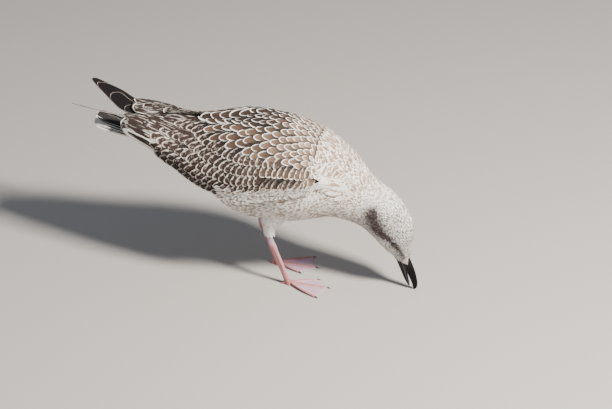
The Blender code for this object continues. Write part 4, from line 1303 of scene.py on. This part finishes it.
def leg_mesh(name, side):
    """Bare leg from the foot's root to inside the thigh, with knobbed joints.

    Scutes, SCUTE millimetres apart, are dents of an even wave round its
    front; a shallow groove runs along each side between bone and tendon.
    Its colour carries painted light: the front is paler as a painted highlight,
    the back of the leg, the groove and the scute dents are darker as painted shade,
    and the leg above the hock is lavender as a painted shadow of the body.
    """
    _, ankle, hock, _ = leg_places(side)
    t = np.linspace(0, 1, 150)
    upper_t = np.linspace(0.01, 0.46, 60)
    path = np.concatenate([ankle + (hock - ankle) * t[:, None], thigh_path(side, upper_t)])
    path[0] -= (hock - ankle) / np.linalg.norm(hock - ankle) * 2.0
    kernel = np.hanning(13)
    kernel /= kernel.sum()
    wide, deep = (
        np.convolve(np.pad(np.concatenate([np.interp(t, (0, 0.05, 0.14, 0.3, 0.8, 0.93, 1), shank),
                                           np.interp(upper_t, (0, 0.16, 0.46), over_hock)]), 6, mode="edge"),
                    kernel, "valid")
        for shank, over_hock in (((3.2, 3.5, 3.1, 2.8, 2.9, 3.9, 3.8), (3.6, 3.2, 3.0)),
                                 ((4.6, 4.9, 4.4, 4.2, 4.5, 5.4, 5.3), (5.0, 4.4, 3.6))))
    rings = tube_points(path, wide, deep, 48)
    far = np.concatenate([[0], np.cumsum(np.linalg.norm(np.diff(path, axis=0), axis=1))])
    out = rings - rings.mean(1, keepdims=True)
    out /= np.linalg.norm(out, axis=2)[..., None]
    fore = out @ np.array([1.0, 0.0, 0.25])
    front = np.clip(fore * 1.8 - 0.5, 0, 1)
    scute = np.abs(np.sin(far[:, None] / SCUTE * math.pi)) ** 0.35 - 1
    rings = rings + out * (0.16 * scute * front)[..., None]
    along = far[:, None] / np.linalg.norm(hock - ankle)
    beside = np.abs(out @ np.array([0.12, -0.993 * -side, 0.0]))
    groove = np.exp(-((1 - beside) / 0.040) ** 2) * np.exp(-((along - 0.60) / 0.32) ** 4)
    rings = rings - out * (0.40 * groove)[..., None]
    thing = ring_mesh(name, into_frame(rings))
    joint = np.exp(-((far - np.linalg.norm(hock - ankle)) / 7.0) ** 2) + 0.6 * np.exp(-(far / 6.0) ** 2)
    # Painted shade: the dents between the scutes are painted a little darker; the joints are redder.
    tone = mix(PINK, RED, np.clip(joint, 0, 1) * 0.25)[:, None] * (1 + 0.12 * scute * front)[..., None]
    # Painted highlight: the front of the leg, which faces the main light, is painted paler.
    tone = tone * (1 - 0.35 * front[..., None]) + PALE * 1.15 * 0.35 * front[..., None]
    # Painted shade: the back of the leg is painted darker lavender.
    painted_rear_shade = np.clip(-fore * 1.5 - 0.3, 0, 1)[..., None]
    tone = tone * (1 - 0.55 * painted_rear_shade) + PALE * 0.7 * 0.55 * painted_rear_shade
    # Painted shadow: above the hock, where the body shades it, the leg is painted lavender.
    above = np.clip((along - 1.02) / 0.08, 0, 1)[..., None]
    tone = tone * (1 - above) + PALE * 0.86 * above
    # Painted shade: the groove is painted dark red.
    tone = tone * (1 - 0.9 * groove[..., None]) + RED * 0.45 * groove[..., None]
    store_colour(thing.data, "tone", tone)
    thing.data.materials.append(leg_material)
    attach(thing, "root")
    return thing


def foot_mesh(name, side):
    """Webbed foot as a fine polar sheet round the heel.

    Height above the floor is the web's, or the nearest toe's rounded ridge,
    swollen at its joints; the rim runs out over each toe and in over the web.
    """
    hub = leg_places(side)[0]
    degrees = np.concatenate([np.linspace(-33, 38, 427), np.linspace(42, 322, 93)])
    front = degrees <= 38.01
    toe_angle = np.array([-28.0, 0.0, 33.0])
    toe_reach = TOE_LENGTH * 0.93 * np.array([0.74, 1.0, 0.97])
    web = np.interp(degrees, (-28, -14, 0, 16, 33), (0.95, 0.88, 0.97, 0.90, 0.97))
    full = np.interp(degrees, toe_angle, toe_reach)
    reach = np.where(front, full * web, 4.8)
    for spot in toe_angle:
        bulge = np.sqrt(np.clip(1 - ((degrees - spot) / 2.6) ** 2, 0, 1))
        reach = np.where(front & (bulge > 0), np.maximum(reach, full * (web + (1 - web) * bulge ** 0.5)), reach)
    edge = np.clip(np.maximum(degrees - 34.5, -29.5 - degrees) / 3.5, 0, 1)
    reach = np.where(front, reach * (1 - edge) + np.minimum(reach, 5.2) * edge ** 1.6, reach)
    behind = np.exp(-((degrees - 180) / 13.0) ** 2)
    reach = np.where(front, reach, 4.8 + 6.2 * behind)
    steps = np.concatenate([np.linspace(0.02, 0.93, 60), [0.955, 0.975, 0.99, 1.0]])
    r = reach[None] * steps[:, None]
    height = np.full(r.shape, 1.25)
    closeness = np.zeros(r.shape)
    for spot, length in zip(toe_angle, toe_reach):
        share = np.clip(r / length, 0, 1)
        knob = sum(np.exp(-((share - k) / 0.05) ** 2) for k in (0.40, 0.66, 0.88))
        width = 3.0 - 1.2 * share + 0.35 * knob
        offset = r * np.sin(np.radians(degrees - spot))[None] / width
        level = 4.7 - 2.3 * share + 0.35 * knob
        ridge = level * np.sqrt(np.clip(1 - offset ** 2, 0, 1)) ** 0.9
        ridge = ridge + 0.12 * np.abs(np.sin(share * 62)) ** 0.5 * (ridge > 1.4)
        height = np.where(front, np.maximum(height, ridge), height)
        closeness = np.where(front, np.maximum(closeness, np.clip(1.25 - np.abs(offset), 0, 1)), closeness)
    fold = 0.22 * np.sin(np.radians(degrees * 13))[None] * np.clip(r / 40, 0, 1) * (1 - closeness)
    height = height + np.where(front, fold, 0)
    height = np.where(front, height, 4.5 - 1.5 * steps[:, None])
    height = np.maximum(height, 6.4 * np.sqrt(np.clip(1 - (r / 10.5) ** 2, 0, 1)))
    rim = np.sqrt(np.clip((1 - steps) / 0.07, 0, 1))[:, None]
    height = 0.25 + (height - 0.25) * rim
    angle = np.radians(degrees * np.where(front, 1 + 0.32 * (1 - steps[:, None]), 1.0))
    x = hub[0] + r * np.cos(angle)
    y = hub[1] + side * r * np.sin(angle)
    top = np.stack([x, y, height], -1)
    sole = np.stack([x[-1], y[-1], 0 * x[-1]], -1)[None]
    inner = (sole + [hub[0], hub[1], 0]) * 0.5
    middle = np.broadcast_to(hub * [1, 1, 0], sole.shape)
    cap = np.broadcast_to(hub + [0, 0, 0.2], sole.shape)
    rings = np.concatenate([cap, top, sole, inner, middle])
    thing = ring_mesh(name, into_frame(rings))
    around = r.shape[1]
    warm = np.concatenate([np.ones((1, around)), np.where(front[None], closeness, 1.0), np.zeros((3, around))])
    store_colour(thing.data, "tone", mix(PALE, PINK, np.clip(warm, 0, 1)))
    thing.data.materials.append(leg_material)
    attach(thing, "root")
    for number, (spot, length) in enumerate(zip(toe_angle, toe_reach)):
        way = np.array([math.cos(math.radians(spot)), side * math.sin(math.radians(spot)), 0.0])
        t = np.linspace(0, 1, 14)
        start = hub * [1, 1, 0] + way * (length - 1.6)
        path = start + way * (t * 5.6)[:, None]
        path[:, 2] = 1.9 + 0.5 * t - 1.9 * t ** 2
        size = 1.15 * (1 - t) ** 0.7 + 0.12
        claw = ring_mesh(name + "_claw_" + str(number), into_frame(tube_points(path, size * 0.75, size, 16)))
        claw.data.materials.append(claw_material)
        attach(claw, "root")
    return thing


for side, title in ((-1, "right"), (1, "left")):
    leg = leg_mesh("leg_" + title, side)
    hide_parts("shank_" + title)
    foot = foot_mesh("webbed_foot_" + title, side)
    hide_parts("foot_" + title)
    thigh_t, thigh_turn = np.linspace(0.06, 1.3, 70), np.linspace(-math.pi, math.pi, 49)
    thigh_rows = (0.1, 0.26, 0.4, 0.6, 1, 1.3)
    rounds = tube_points(thigh_path(side, thigh_t),
                         np.interp(thigh_t, thigh_rows, (4.4, 5.0, 6.3, 8.7, 14.4, 17)),
                         np.interp(thigh_t, thigh_rows, (6.7, 7.3, 7.8, 9.8, 19.4, 24)), 48)
    rounds = np.concatenate([rounds, rounds[:, :1]], 1)
    thigh = sample(into_frame(rounds), thigh_t, thigh_turn)
    thigh["round"] = True
    a, b = staggered(thigh, 1.28, 0.42, lambda a: 0.0046, lambda a: 0.0042, rng)
    long = np.interp(a, (0.42, 0.6, 1.0), (0.006, 0.011, 0.017)) * rng.uniform(0.85, 1.15, len(a))
    short = lay_vanes(thigh, a, b, rng.normal(0, 0.12, len(a)), long, long * 0.5, -0.0010,
                      rng.uniform(0.0001, 0.0009, len(a)), round_from=0.5, dome=0.14, ragged=0.05, rng=rng)
    paint_vanes(short, (0.60, 0.54, 0.48), (0.79, 0.77, 0.74), rng.uniform(0.05, 0.25, len(a)), 0.25, rng)
    join_vanes("thigh_feathers_" + title, [short], contour_finish)

# ---------------------------------------------------------------- floor, light and camera
# A plain pale studio floor with no pattern, for the shadow only.
# A soft main light stands ahead and above on the bird's right, with a weak fill behind it and a dim sky.

FLOOR_LEVEL = -0.0002
floor_mesh = bpy.data.meshes.new("floor")
floor_mesh.from_pydata([(x, y, FLOOR_LEVEL) for x, y in ((-6, -6), (6, -6), (6, 6), (-6, 6))],
                       [], [(0, 1, 2, 3)])
floor = into_scene("floor", floor_mesh)
floor_finish, _, _ = new_finish("floor_finish", {"Base Color": (0.36, 0.34, 0.32, 1), "Roughness": 0.9})
floor.data.materials.append(floor_finish)

world = bpy.data.worlds.new("studio")
world.use_nodes = True
feed(world.node_tree, world.node_tree.nodes["Background"], {"Color": (0.80, 0.87, 1.0, 1), "Strength": 0.36})
bpy.context.scene.world = world


def stand(name, data, place, aim):
    """A lamp or camera at a place, turned to face a point."""
    thing = into_scene(name, data)
    thing.location = place
    way = np.array(aim) - np.array(thing.location)
    way /= np.linalg.norm(way)
    thing.rotation_euler = (math.acos(-way[2]), 0.0, math.atan2(way[1], way[0]) - math.pi / 2)
    return thing


LIT_POINT = (0.0, 0.0, 0.12)
for name, place, size, power, colour in (("key", (1.55, -0.85, 1.9), 0.42, 238.0, (1.0, 0.955, 0.88)),
                                         ("fill", (-1.6, -1.8, 1.4), 1.6, 5.0, (0.86, 0.92, 1.0))):
    lamp = bpy.data.lights.new(name, "AREA")
    lamp.size, lamp.energy, lamp.color = size, power, colour
    stand(name, lamp, place, LIT_POINT)

camera_data = bpy.data.cameras.new("camera")
camera_data.sensor_width = 36.0
camera_data.lens = 145.0
camera = stand("camera", camera_data, (0.82333, -2.97520, 1.67690), (0.06890, 0.05069, 0.08793))
bpy.context.scene.camera = camera
